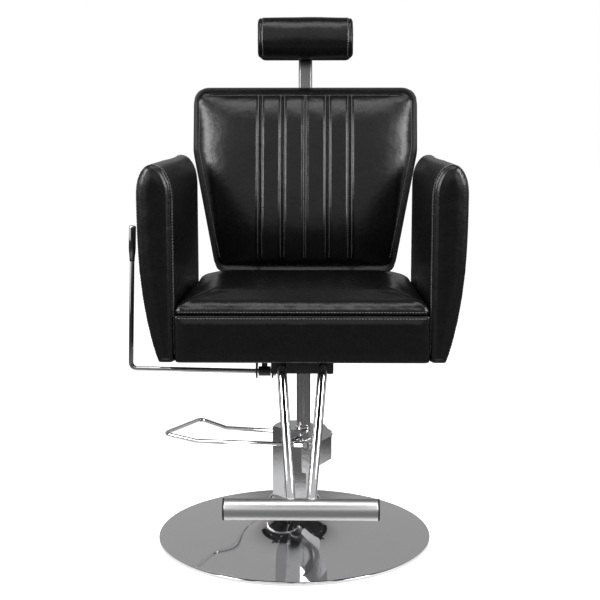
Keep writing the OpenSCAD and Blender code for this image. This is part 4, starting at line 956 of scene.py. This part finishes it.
# %% Seat box
seat_frame = copy_node("seat_frame", "seat_box")
voxels(seat_frame, 4.5 * MM)
modify(seat_frame, "SMOOTH", factor=0.5, iterations=4)
modify(seat_frame, "SUBSURF", levels=1, render_levels=1)
co = points(seat_frame)
height = (co[:, 2] - SEAT_LOW) / (BOX_TOP - SEAT_LOW)
inside = (smoothly((height - 0.05) * 6) * smoothly((0.97 - height) * 6)
          * smoothly((SEAT_HALF - np.abs(co[:, 0])) / (30 * MM)))
front_face = smoothly((-co[:, 1] + SEAT_FRONT + 12 * MM) / (10 * MM))
co[:, 1] -= inside * front_face * (3.2 * MM + ripple(co, 60 * MM, 7) * 0.7 * MM)
co[:, 0] = np.clip(co[:, 0], -SIDE_ROOM, SIDE_ROOM)
co[:, 2] = np.clip(co[:, 2], SEAT_LOW, BOX_TOP)
move_points(seat_frame, co)
smooth(seat_frame, 80)
settle(seat_frame, "seat_surround", leather, "seat", "black_leather", "seat_box")

# %% [markdown]
# ## Seat seam
# Where the cushion meets the box there is a line of stitches above the welt and another below it.
# A line could be written by hand, but the covers have swollen by now, so rays are sent at them
# from the front and the stitches go where the rays land.

# %% Seat seam
ABOVE_WELT = 6.5 * MM
BELOW_WELT = 6 * MM
RAY_START = SEAT_FRONT - 50 * MM
pad_skin, box_skin = surface_of(seat_pad), surface_of(seat_frame)
across = np.linspace(-SEAT_HALF + 8 * MM, SEAT_HALF - 8 * MM, 160)
seam_high = cast(pad_skin, [(x, RAY_START, BOX_TOP + ABOVE_WELT) for x in across], (0, 1, 0))
seam_low = cast(box_skin, [(x, RAY_START, BOX_TOP - BELOW_WELT) for x in across], (0, 1, 0))
sew("seat_stitches", [seam_high, seam_low], "seat")

# %% [markdown]
# ## The arm's outline
# An arm is a tall slab that leans outwards: one long strip of leather over its top and sides, and
# a panel at each end. Its section could be traced point by point, but a formula also gives the
# distance of any point to the edge, which the seams and the swell of the end panels need.

# %% Arm outline
ARM_FOOT = 31 * MM
ARM_W = 70 * MM
ARM_WIDE_Z = 770 * MM
ARM_TOP_FRONT = 825 * MM
ARM_TOP_REAR = 840 * MM
ARM_CREST = 38 * MM
ARM_ROUND = 62 * MM
ARM_BELLY = 2.8
ARM_SEAM = 7 * MM


def arm_outline(top, n=40):
    """The arm's section under a crest at height top, as (distance from the seat, height):

    up the outer side, over the crest and down the inner side."""
    z = np.linspace(SEAT_LOW, ARM_WIDE_Z, n)
    fall = 1 - (z - SEAT_LOW) / (ARM_WIDE_Z - SEAT_LOW)
    outer = ARM_W - (ARM_W - ARM_FOOT) * fall ** ARM_BELLY
    a = np.radians(np.linspace(5, 90, n))
    b = np.radians(np.linspace(95, 180, n))
    crest_out = np.c_[ARM_CREST + (ARM_W - ARM_CREST) * np.cos(a),
                      ARM_WIDE_Z + (top - ARM_WIDE_Z) * np.sin(a)]
    crest_in = np.c_[ARM_CREST + ARM_CREST * np.cos(b), top - ARM_ROUND * (1 - np.sin(b))]
    down = np.c_[np.zeros(n), np.linspace(top - ARM_ROUND, SEAT_LOW, n)]
    return np.r_[np.c_[outer, z], crest_out, crest_in, down]


def edge_distance(flat, outline):
    """Distance of each flat point to the outline."""
    best = np.full(len(flat), 1e9)
    ring = np.r_[outline, outline[:1]]
    for a, b in zip(ring, ring[1:]):
        ab = b - a
        t = np.clip(((flat - a) @ ab) / max(ab @ ab, 1e-12), 0, 1)
        best = np.minimum(best, np.linalg.norm(flat - (a + t[:, None] * ab), axis=1))
    return best

# %% [markdown]
# ## Arm stuffing
# The arm starts as a copy of the CAD arm, whose outer side is brought out to a fuller curve first.
# Then it is blown up like the seat: sewn near both end panels, held along its foot, and held on
# the inner side where it stands against the seat.

# %% Arm stuffing
CAD_FOOT = 27 * MM  # the CAD arm's width at its foot
CAD_BELLY = 1.8     # and the power of its outer curve

arm_pad = copy_node("arm_pad", "arm_right")
co = points(arm_pad)
t = np.clip((co[:, 2] - SEAT_LOW) / (ARM_WIDE_Z - SEAT_LOW), 0, 1)
wanted = ARM_W - (ARM_W - ARM_FOOT) * (1 - t) ** ARM_BELLY
fuller = wanted / (ARM_W - (ARM_W - CAD_FOOT) * (1 - t) ** CAD_BELLY)
co[:, 0] = SEAT_HALF + (co[:, 0] - SEAT_HALF) * fuller
move_points(arm_pad, co)
voxels(arm_pad, 5 * MM)
modify(arm_pad, "SMOOTH", factor=0.5, iterations=2)
co = points(arm_pad)
to_front = co[:, 1] - SEAT_FRONT
to_rear = SEAT_BACK - co[:, 1]
sewn = np.maximum(near_value(to_front - 6 * MM, 9 * MM), near_value(to_rear - 5 * MM, 9 * MM))
foot = smoothly((co[:, 2] - SEAT_LOW - 4 * MM) / (25 * MM))
beside_seat = smoothly((co[:, 2] - BOX_TOP) / (50 * MM))
inner = smoothly((SEAT_HALF + 14 * MM - co[:, 0]) / (12 * MM))
free = (1 - sewn) * foot * (1 - inner * (1 - 0.6 * beside_seat))
stuff(arm_pad, free, cap=6 * MM)
modify(arm_pad, "SUBSURF", levels=1, render_levels=1)

# %% [markdown]
# ## Arm end panels
# The end panel is sewn in a few millimetres inside the outline, so that the strip frames it like
# a mount. It could be a piece of its own, but the leather runs on under the seam, so the arm's
# points are moved by their distance to the outline: in at the seam, out over the panel's foam.

# %% Arm end panels
co = points(arm_pad)
out = normals(arm_pad)
for end, top, sign in ((SEAT_FRONT, ARM_TOP_FRONT, -1), (SEAT_BACK, ARM_TOP_REAR, 1)):
    depth = (co[:, 1] - end) * -sign
    outline = arm_outline(top)
    outline[:, 0] += SEAT_HALF
    inset = edge_distance(co[:, [0, 2]], outline)
    at_end = smoothly((14 * MM - depth) / (8 * MM)) * smoothly((sign * out[:, 1] - 0.3) / 0.4)
    inside = smoothly((inset - 3 * MM) / (26 * MM))
    inner_side = smoothly((SEAT_HALF + ARM_W * 0.55 - co[:, 0]) / (20 * MM))
    groove = near_value(inset - ARM_SEAM, 2.0 * MM) * (0.25 + 0.55 * inner_side)
    frame_edge = smoothly((ARM_SEAM - inset) / ARM_SEAM)
    swell = 5.5 * MM * inside - 2.2 * MM * groove - 2.5 * MM * frame_edge ** 2
    co[:, 1] += sign * at_end * (swell + ripple(co, 70 * MM, 11) * 0.5 * MM * inside)
to_end = np.minimum(co[:, 1] - SEAT_FRONT, SEAT_BACK - co[:, 1])
strip = (smoothly((co[:, 1] - SEAT_FRONT - 14 * MM) / (10 * MM))
         * smoothly((SEAT_BACK - 14 * MM - co[:, 1]) / (10 * MM)))
long_waves = ripple(co * (1, 0.5, 1), 120 * MM, 12) * 1.0 * MM
short_waves = ripple(co * (0.6, 1, 0.3), 18 * MM, 13) * 0.25 * MM * near_value(to_end, 30 * MM)
off_foot = smoothly((co[:, 2] - SEAT_LOW - 10 * MM) / (40 * MM))
co += out * ((long_waves + short_waves) * strip * off_foot)[:, None]
beside = co[:, 2] < BOX_TOP + 30 * MM
co[beside, 0] = np.maximum(co[beside, 0], SEAT_HALF + 0.1 * MM)
co[:, 2] = np.maximum(co[:, 2], SEAT_LOW)
move_points(arm_pad, co)
smooth(arm_pad, 80)

# %% [markdown]
# ## The other arm
# The other arm is the same arm seen in a mirror. A negative scale turns a mesh inside out, so
# its faces are flipped back afterwards.

# %% Both arms
only(arm_pad)
bpy.ops.object.duplicate(linked=False)
arm_pad_left = bpy.context.object
bpy.ops.transform.resize(value=(-1, 1, 1), center_override=(0, 0, 0))
bpy.ops.object.transform_apply(location=True, rotation=True, scale=True)
edit(arm_pad_left)
bpy.ops.mesh.normals_make_consistent(inside=False)
leave_edit()
settle(arm_pad, "arm_pad_right", leather, "seat", "black_leather", "arm_right")
settle(arm_pad_left, "arm_pad_left", leather, "seat", "black_leather", "arm_left")

# %% [markdown]
# ## Arm stitches
# Two rows of stitches follow each end panel on the strip. Rays are sent from outside towards the
# arm's core, at a fixed depth behind the panel, and the stitches go where they land. The rows of
# the left arm are the right arm's rows in the mirror.

# %% Arm stitches
FAR_OUT = 120 * MM
ROWS = (9 * MM, 13.5 * MM)


def seam_on_strip(tree, depth, end, top, sign):
    """A line of stitches on the strip, a little behind the end panel."""
    outline = arm_outline(top, 60)
    ring = outline[outline[:, 1] > SEAT_LOW + 12 * MM]
    hits = []
    for x, z in ring:
        core = np.array([ARM_CREST * 0.8, min(z, top - 45 * MM)])
        way = np.array([x, z]) - core
        way /= np.linalg.norm(way)
        start = core + way * FAR_OUT
        hits += cast(tree, [(SEAT_HALF + start[0], end - sign * depth, start[1])],
                     (-way[0], 0, -way[1]))
    return hits


arm_skin = surface_of(arm_pad)
arm_lines = [seam_on_strip(arm_skin, depth, end, top, sign)
             for end, top, sign in ((SEAT_FRONT, ARM_TOP_FRONT, -1), (SEAT_BACK, ARM_TOP_REAR, 1))
             for depth in ROWS]
mirrored = [[((-p[0], p[1], p[2]), (-n[0], n[1], n[2])) for p, n in line] for line in arm_lines]
sew("arm_stitches_right", arm_lines, "seat")
sew("arm_stitches_left", mirrored, "seat")

# %% [markdown]
# ## The back's outline
# The back has a front panel with five sewn channels, a boxing strip round it that slopes out to
# the rear shell, and a second skin behind. It is widest from its shoulders up and narrows
# to its foot, so its half width is a formula of the height, with a round corner at each end.

# %% Back outline
BACK_LOW = 100 * MM
BACK_H = 447 * MM
BACK_HALF = 270 * MM
BACK_HALF_LOW = 213 * MM
SHOULDER = 290 * MM
TOP_CORNER = 28 * MM
LOW_CORNER = 16 * MM
CHANNEL_GAP = 53 * MM
PANEL_IN = 13 * MM
PANEL_TOP_IN = 24 * MM
PANEL_TOP = BACK_H - PANEL_TOP_IN
SHELL_FRONT = -10 * MM
SEAM_Y = -46 * MM
CROWN_Y = -76 * MM


def back_half(z):
    """Half the back's width at height z above its lower edge, without its corners."""
    narrow = BACK_HALF_LOW + (BACK_HALF - BACK_HALF_LOW) * z / SHOULDER
    return np.where(z < SHOULDER, narrow, BACK_HALF)


def corner_cut(d, r):
    """How far a round corner of radius r cuts in at distance d from the end."""
    d = np.clip(d, 0, r)
    return r - np.sqrt(np.maximum(r * r - (r - d) ** 2, 0))


def panel_half(z):
    """Half the front panel's width at height z, with its corners."""
    low, high = z - PANEL_IN, PANEL_TOP - z
    corners = corner_cut(low, LOW_CORNER), corner_cut(high, TOP_CORNER - 6 * MM)
    return back_half(z) - PANEL_IN - corners[0] - corners[1]

# %% [markdown]
# ## Back front panel
# The panel starts as a flat grid, because a grid's columns can be placed: they crowd together at
# each channel, so that a groove two millimetres wide has points of its own. The grid is then
# bent into a low crown that is steep near the seam and flat in the middle.

# %% Back front panel
ROW_TURN = 54 * MM
ROW_STRAIGHT = 46 * MM
UPPER_ROUND = 22 * MM
steps_in = np.array([-13, -9.5, -7, -5, -3.2, -1.8, -0.8, 0, 0.8, 1.8, 3.2, 5, 7, 9.5, 13]) * MM
channel_at = [k * CHANNEL_GAP for k in (-2, -1, 0, 1, 2)]
middle_cols = [c + s for c in channel_at for s in steps_in]
for a, b in zip(channel_at, channel_at[1:]):
    middle_cols += list(np.linspace(a + 13 * MM, b - 13 * MM, 5)[1:-1])
middle_cols = np.array(sorted(middle_cols))
side_share = 1 - (1 - np.linspace(0, 1, 18)) ** 1.25
low_rows = PANEL_IN + LOW_CORNER * (1 - np.cos(np.radians(np.arange(0, 91, 15))))
middle_rows = np.linspace(PANEL_IN + LOW_CORNER, BACK_H - ROW_TURN, 48)
top_rows = PANEL_TOP - UPPER_ROUND * (1 - np.sin(np.radians(np.arange(0, 91, 11.25))))
turn_rows = np.linspace(BACK_H - ROW_TURN, BACK_H - ROW_STRAIGHT, 2)
rows = np.unique(np.r_[low_rows, middle_rows, top_rows, turn_rows])
columns = len(middle_cols) + 2 * (len(side_share) - 1)
bpy.ops.object.select_all(action="DESELECT")
bpy.ops.mesh.primitive_grid_add(x_subdivisions=columns - 1, y_subdivisions=len(rows) - 1,
                                size=1)
back_pad = bpy.context.object
grid = []
for z in rows:
    half = float(panel_half(z))
    last = min(middle_cols[-1], half - 4 * MM)
    inner_cols = middle_cols * (last / middle_cols[-1])
    right = inner_cols[-1] + (half - inner_cols[-1]) * side_share[1:]
    xs = np.r_[-right[::-1], inner_cols, right]
    grid += [(x, 0.0, z) for x in xs]
grid = np.array(grid)


def fullness(d):
    """How full the pad is at distance d from its seam, from 0 to 1."""
    return 1 - 0.55 * np.exp(-d / (14 * MM)) - 0.45 * np.exp(-(d / (60 * MM)) ** 2)


half_here = panel_half(grid[:, 2])
across_full = fullness(np.maximum(half_here - np.abs(grid[:, 0]), 0))
up_full = fullness(np.minimum(grid[:, 2] - PANEL_IN, PANEL_TOP - grid[:, 2]))
grid[:, 1] = SEAM_Y + (CROWN_Y - SEAM_Y) * across_full * up_full
move_points(back_pad, grid)
print("back panel:", columns, "by", len(rows))

# %% [markdown]
# ## Back boxing
# The boxing strip is extruded from the panel's outline, one ring at a time: out and back to the
# widest line, in again to the shell, and then the rear is closed. After each extrude the new
# ring is set to its place by its own direction away from the middle.

# %% Back boxing
# share of the way out to the widest line, and the depth in millimetres
BOXING = ((0.3, -42), (0.62, -34), (0.88, -25), (1.0, -16), (0.97, -11.5), (0.9, -10.4))


def boundary(obj):
    """The open outline of a mesh as a loop of point numbers."""
    bm = bmesh.new()
    bm.from_mesh(obj.data)
    edges = [e for e in bm.edges if e.is_boundary]
    link = {}
    for e in edges:
        a, b = e.verts[0].index, e.verts[1].index
        link.setdefault(a, []).append(b)
        link.setdefault(b, []).append(a)
    start = edges[0].verts[0].index
    loop, before, here = [start], None, start
    while True:
        ahead = [n for n in link[here] if n != before][0]
        if ahead == start:
            break
        loop.append(ahead)
        before, here = here, ahead
    bm.free()
    return loop


def select_rim(obj):
    """Edit mode, with only the open edges selected."""
    edit(obj, "DESELECT")
    bpy.ops.mesh.select_mode(type="EDGE")
    bpy.ops.mesh.select_non_manifold(extend=False, use_wire=False, use_multi_face=False,
                                     use_non_contiguous=False, use_verts=False)


loop = boundary(back_pad)
outline = points(back_pad)[loop]
flat = outline[:, [0, 2]]
ahead, behind = np.roll(flat, -3, axis=0), np.roll(flat, 3, axis=0)
way = ahead - behind
side = np.c_[way[:, 1], -way[:, 0]]
middle = flat.mean(axis=0)
side *= np.sign(((flat - middle) * side).sum(axis=1))[:, None]
side /= np.linalg.norm(side, axis=1)[:, None]
reach = PANEL_IN + (PANEL_TOP_IN - PANEL_IN) * np.clip(side[:, 1], 0, 1) ** 2
rings = []
for share, depth in BOXING:
    rings.append(np.c_[flat[:, 0] + side[:, 0] * reach * share, np.full(len(flat), depth * MM),
                       flat[:, 1] + side[:, 1] * reach * share])
for ring in rings:
    select_rim(back_pad)
    bpy.ops.mesh.extrude_edges_move(TRANSFORM_OT_translate={"value": (0, 1 * MM, 0)})
    leave_edit()
    co = points(back_pad)
    new_loop = boundary(back_pad)
    placed = co[new_loop]
    gap = ((placed[:, None, [0, 2]] - outline[None, :, [0, 2]]) ** 2).sum(axis=2)
    co[new_loop] = ring[gap.argmin(axis=1)]
    outline = ring
    move_points(back_pad, co)
select_rim(back_pad)
bpy.ops.mesh.fill()
bpy.ops.mesh.select_all(action="SELECT")
bpy.ops.mesh.normals_make_consistent(inside=False)
leave_edit()

# %% [markdown]
# ## Back stuffing
# The panel is held along its outline and along each channel, and the flutes between them are
# blown up. How free a point is follows from its distance to the nearest seam, so no point has to
# be picked by hand.

# %% Back stuffing
co = points(back_pad)


def channel_distance(x):
    """Distance to the nearest channel."""
    return np.min([np.abs(x - c) for c in channel_at], axis=0)


on_panel = co[:, 1] < SEAM_Y + 1.5 * MM
half_here = panel_half(np.clip(co[:, 2], PANEL_IN, PANEL_TOP))
from_seam = np.minimum(half_here - np.abs(co[:, 0]),
                       np.minimum(co[:, 2] - PANEL_IN, PANEL_TOP - co[:, 2]))
free = (smoothly(np.clip(from_seam, 0, 1) / (12 * MM))
        * smoothly(channel_distance(co[:, 0]) / (9 * MM)) * on_panel)
stuff(back_pad, free, cap=2.5 * MM)

# %% [markdown]
# ## Back channels
# A channel is a seam with a raised, top-stitched fold on each side. So the groove is pressed in at
# the seam, the leather rises beside it where the folds lie, and it dips again before the flute.
# The whole panel then gets broad slack waves and short pulls at its outer seam.

# %% Back channels
co = points(back_pad)
u = channel_distance(co[:, 0])
centre_one = near_value(co[:, 0], 20 * MM)
along = (smoothly((co[:, 2] - PANEL_IN - 3 * MM) / (20 * MM))
         * smoothly((PANEL_TOP - co[:, 2] - 1 * MM) / (8 * MM)))
groove = near_value(u, 1.7 * MM) * 2.2 * MM
welt = near_value(u - 5.5 * MM, 2.9 * MM) * 2.4 * MM * (1 - 0.6 * centre_one)
dip = near_value(u - 9.5 * MM, 3.0 * MM) * 1.0 * MM
push = (groove - welt + dip) * along
beside = near_value(u - 14 * MM, 14 * MM)
ripples = ripple(co * (1.0, 1.0, 0.45), 34 * MM, 21) * 0.5 * MM * beside
broad = ripple(co, 130 * MM, 22) * 1.1 * MM
at_seam = near_value(from_seam - 10 * MM, 16 * MM)
pulls = ripple(co * (0.4, 1, 1.6), 24 * MM, 23) * 0.5 * MM * at_seam
inside = on_panel * smoothly(np.clip(from_seam, 0, 1) / (6 * MM))
co[:, 1] += inside * (push + ripples + broad + pulls)
seam_line = on_panel * near_value(from_seam, 2.5 * MM)
co[:, 1] += seam_line * 0.3 * MM
move_points(back_pad, co)
modify(back_pad, "SUBSURF", levels=1, render_levels=1)
UP_BACK = np.array([0, 0, BACK_LOW])
move_points(back_pad, to_world(points(back_pad) + UP_BACK))
smooth(back_pad, 80)
settle(back_pad, "back_pad", leather, "back", "black_leather", "back_cushion")

# %% [markdown]
# ## Back stitches
# Each channel has a row of stitches on both of its folds; the middle one is a narrow seam with its
# rows closer together. One row follows the panel's sides and top. The rows are written in the
# back's own frame and cast onto the finished pad.

# %% Back stitches
ROW_OFF = 4.6 * MM
MIDDLE_ROW_OFF = 2.4 * MM
EDGE_ROW_IN = 4.5 * MM
IN_FRONT = -150 * MM
TO_REAR = tuple(to_world([0, 1, 0]) - to_world([0, 0, 0]))
back_skin = surface_of(back_pad)


def on_back(xz):
    """Where flat points of the back land on the pad."""
    return cast(back_skin, [to_world([x, IN_FRONT, z + BACK_LOW]) for x, z in xz], TO_REAR)


up_back = np.linspace(PANEL_IN + 14 * MM, PANEL_TOP - 3 * MM, 120)
back_lines = []
for c in channel_at:
    off = ROW_OFF if c else MIDDLE_ROW_OFF
    for s in (-1, 1):
        back_lines.append(on_back([(c + s * off, z) for z in up_back]))
up_side = np.linspace(PANEL_IN + 16 * MM, PANEL_TOP - 16 * MM, 100)
for s in (-1, 1):
    back_lines.append(on_back([(s * (float(panel_half(z)) - EDGE_ROW_IN), z) for z in up_side]))
across_top = np.linspace(-BACK_HALF + 45 * MM, BACK_HALF - 45 * MM, 140)
back_lines.append(on_back([(x, PANEL_TOP - EDGE_ROW_IN) for x in across_top]))
sew("back_stitches", back_lines, "back")

# %% [markdown]
# ## Rear shell
# Behind the pad is a padded board, covered on its own and closed with a seam round its edge. It
# keeps the pocket that the headrest's sleeve sits in, so the copy of the CAD shell is only
# softened: an even mesh, rounded edges, and a groove where the seam runs. It is also drawn up and
# out a little, to end where the front pad ends.

# %% Rear shell
CAD_BACK_H = 430 * MM
CAD_BACK_HALF = 266 * MM
shell = copy_node("shell", "back_shell")
voxels(shell, 4 * MM)
modify(shell, "SMOOTH", factor=0.5, iterations=3)
co = points(shell)
inner_co = to_back(co)
height = inner_co[:, 2] - BACK_LOW
drawn_up = smoothly((height - SHOULDER) / (CAD_BACK_H - SHOULDER))
inner_co[:, 2] += (BACK_H - CAD_BACK_H) * drawn_up
inner_co[:, 0] *= BACK_HALF / CAD_BACK_HALF
height = inner_co[:, 2] - BACK_LOW
shell_half = back_half(np.clip(height, 0, BACK_H))
to_edge = np.minimum(shell_half - np.abs(inner_co[:, 0]),
                     np.minimum(height, BACK_H - height))
rear_face = smoothly((inner_co[:, 1] - 8 * MM) / (5 * MM))
slack = 0.6 * MM + 0.5 * MM * ripple(inner_co, 90 * MM, 31)
rear_swell = smoothly(to_edge / (40 * MM)) * slack
rear_groove = near_value(to_edge - 11 * MM, 2.4 * MM) * 1.3 * MM
inner_co[:, 1] += rear_face * (np.minimum(rear_swell, 0.0) - rear_groove)
move_points(shell, to_world(inner_co))
smooth(shell, 80)
settle(shell, "back_rear_pad", leather, "back", "black_leather", "back_shell")

# %% [markdown]
# ## Headrest
# The headrest is a half roll: one skin bent round from the top edge to the lower edge, with a
# D-shaped panel at each end. Its seams lie a little way in from the ends. It is blown up
# between them, so that the roll is fullest in the middle.

# %% Headrest
REST_MID = 663 * MM
REST_HALF = 114 * MM
REST_SEAM = 9 * MM
rest_pad = copy_node("rest_pad", "headrest_cushion")
voxels(rest_pad, 3.5 * MM)
modify(rest_pad, "SMOOTH", factor=0.5, iterations=2)
co = points(rest_pad)
local = to_back(co)
rest_rear = local[:, 1].max()
to_end = REST_HALF - np.abs(local[:, 0])
sewn = near_value(to_end - REST_SEAM, 6 * MM)
off_board = smoothly((rest_rear - local[:, 1] - 4 * MM) / (14 * MM))
stuff(rest_pad, (1 - sewn) * off_board, cap=4 * MM)
modify(rest_pad, "SUBSURF", levels=1, render_levels=1)
co = points(rest_pad)
local = to_back(co)
to_end = REST_HALF - np.abs(local[:, 0])
off_board = smoothly((rest_rear - local[:, 1] - 5 * MM) / (10 * MM))
groove = near_value(to_end - REST_SEAM, 1.8 * MM) * 1.6 * MM
long_waves = ripple(local * (0.5, 1, 1), 60 * MM, 41) * 0.7 * MM
beside = near_value(to_end - 14 * MM, 16 * MM)
ripples = long_waves + ripple(local * (0.4, 1, 1), 16 * MM, 42) * 0.3 * MM * beside
co += normals(rest_pad) * ((ripples - groove) * off_board)[:, None]
move_points(rest_pad, co)
smooth(rest_pad, 80)
settle(rest_pad, "headrest_pad", leather, "headrest", "black_leather", "headrest_cushion")

# %% [markdown]
# ## Headrest stitches
# A row of stitches runs round the roll beside each end seam. Rays are sent towards the roll's core
# from a fan of directions, from straight up over the front to straight down, and the stitches go
# where they land.

# %% Headrest stitches
REST_ROW = REST_HALF - 12.5 * MM
REST_CORE = 18 * MM
rest_skin = surface_of(rest_pad)
rest_lines = []
for s in (-1, 1):
    core = np.array([s * REST_ROW, rest_rear - REST_CORE, REST_MID])
    line = []
    for a in np.radians(np.arange(-80, 81, 4)):
        way = np.array([0, -math.cos(a), math.sin(a)])
        inward = tuple(to_world(-way) - to_world([0, 0, 0]))
        line += cast(rest_skin, [to_world(core + way * FAR_OUT)], inward)
    rest_lines.append(line)
sew("headrest_stitches", rest_lines, "headrest")

# %% [markdown]
# ## Floor
# Black leather and chrome show only what stands round them, so the floor does two jobs. To the
# camera it is a pale ground that glows a little and still takes the chair's shadow. To polished
# metal it is pale only near the base: further out it is dark, because a bright floor in a bar's
# edges would make the bar melt into the background. Light Path tells the two apart.

# %% Floor
FLOOR_R = 40
CAMERA_GLOW = 0.82
MIRROR_GLOW = 0.25
FLOOR_PALE = (0.86, 0.86, 0.86, 1)
FLOOR_DARK = (0.14, 0.14, 0.14, 1)
WHITE = (1, 1, 1, 1)
DARK_IN_FRONT = (0.32, 0.50)
DARK_AROUND = (0.45, 0.85)


def ray_kind(tree, kind):
    """1 for rays of one kind, such as "Is Camera Ray", and 0 for the rest."""
    return node(tree, "ShaderNodeLightPath", out=kind)


bpy.ops.object.select_all(action="DESELECT")
bpy.ops.mesh.primitive_circle_add(vertices=64, radius=FLOOR_R, fill_type="NGON",
                                  location=(0, 0, 0))
floor = bpy.context.object
floor.name = "floor"
material, tree = new_material("pale_floor")
mirrored = ray_kind(tree, "Is Glossy Ray")
glowing = ray_kind(tree, "Is Camera Ray") * CAMERA_GLOW + mirrored * MIRROR_GLOW
glowing = glowing + ray_kind(tree, "Is Transmission Ray") * MIRROR_GLOW
glow = node(tree, "ShaderNodeEmission", {}, {"Color": WHITE, "Strength": glowing})
matt = node(tree, "ShaderNodeBsdfDiffuse", {}, {"Color": FLOOR_PALE})
pale = node(tree, "ShaderNodeAddShader", {}, {0: glow, 1: matt})
northward = node(tree, "ShaderNodeSeparateXYZ", {}, {0: own_place(tree)}, "Y")
in_front = (-1 * northward).above(*DARK_IN_FRONT)
away = node(tree, "ShaderNodeVectorMath", {"operation": "LENGTH"}, {0: own_place(tree)}, "Value")
unlit = in_front.maths("MAXIMUM", away.above(*DARK_AROUND))
dark = node(tree, "ShaderNodeBsdfDiffuse", {}, {"Color": FLOOR_DARK})
both = node(tree, "ShaderNodeMixShader", {}, {0: mirrored * unlit, 1: pale, 2: dark})
node(tree, "ShaderNodeOutputMaterial", {}, {"Surface": both})
dress(floor, material)
print("floor: dark to metal from", DARK_AROUND[0], "m outwards")

# %% [markdown]
# ## World
# The world is the studio's walls. White walls stand low at left and right and the front is dark,
# so a bar gets a dark middle and two bright lines. A softbox glows in front and above, where the
# leaning back sees it, and a grey wall stands behind, which the dish and the seat's top mirror.
# The walls could be planes with lamps, but as a formula of the direction they have soft edges
# and cast no shadows of their own. To the camera the world is plain white.

# %% World
WALL_LEVEL = 0.85
SOFTBOX_LEVEL = 0.75
REAR_LEVEL = 0.38
REAR_FALL = 0.05  # the rear wall is a little darker to the east
ROOM_LEVEL = 0.02

world = bpy.data.worlds.new("studio")
bpy.context.scene.world = world
world.use_nodes = True
world.node_tree.nodes.clear()
tree = world.node_tree
direction = node(tree, "ShaderNodeTexCoord", out="Generated")
east, north, high = [node(tree, "ShaderNodeSeparateXYZ", {}, {0: direction}, axis)
                     for axis in "XYZ"]
# high is the sine of the elevation; above(low, high) is a soft step from 0 to 1
walls = (east * east).above(0.34, 0.76) * (1 - high.above(0.12, 0.30))
softbox = high.above(0.06, 0.40) * (1 - high.above(0.52, 0.72)) * (1 - north.above(-0.45, -0.10))
rear_wall = north.above(0.0, 0.30) * high.above(0.04, 0.14) * (1 - 0.7 * high.above(0.55, 0.95))
light = WALL_LEVEL * walls + SOFTBOX_LEVEL * softbox + ROOM_LEVEL
light = light + (REAR_LEVEL - REAR_FALL * east) * rear_wall
seen = ray_kind(tree, "Is Camera Ray")
shine = node(tree, "ShaderNodeBackground", {},
             {"Color": WHITE, "Strength": light * (1 - seen) + seen})
node(tree, "ShaderNodeOutputWorld", {}, {"Surface": shine})
print("world:", len(tree.nodes), "nodes")

# %% [markdown]
# ## Lamps
# Two tall lamps at the sides draw the arms' crests and the edges of the back, and a wide one hangs
# high up, a little in front of the seat. They are kept weak, so that a colour renders about as it
# is written. The left one is slightly stronger, so that the two sides of the chair differ.

# %% Lamps
SIDE_SIZE = (0.7, 1.6)
TOP_SIZE = (2.4, 0.9)


def lamp(name, place, target, size, power):
    """A soft rectangular lamp that faces a point."""
    bpy.ops.object.select_all(action="DESELECT")
    bpy.ops.object.light_add(type="AREA", location=place)
    made = bpy.context.object
    made.name = name
    made.data.shape = "RECTANGLE"
    made.data.size, made.data.size_y = size
    made.data.energy = power
    facing = (Vector(target) - Vector(place)).to_track_quat("-Z", "Y")
    made.rotation_euler = facing.to_euler()
    print(f"{name}: {power} W")


lamp("lamp_left", (-2.2, -1.4, 1.9), (0, 0, 0.7), SIDE_SIZE, 60)
lamp("lamp_right", (2.2, -1.4, 1.9), (0, 0, 0.7), SIDE_SIZE, 56)
lamp("lamp_top", (0, -0.85, 3.2), (0, 0, 0.9), TOP_SIZE, 30)
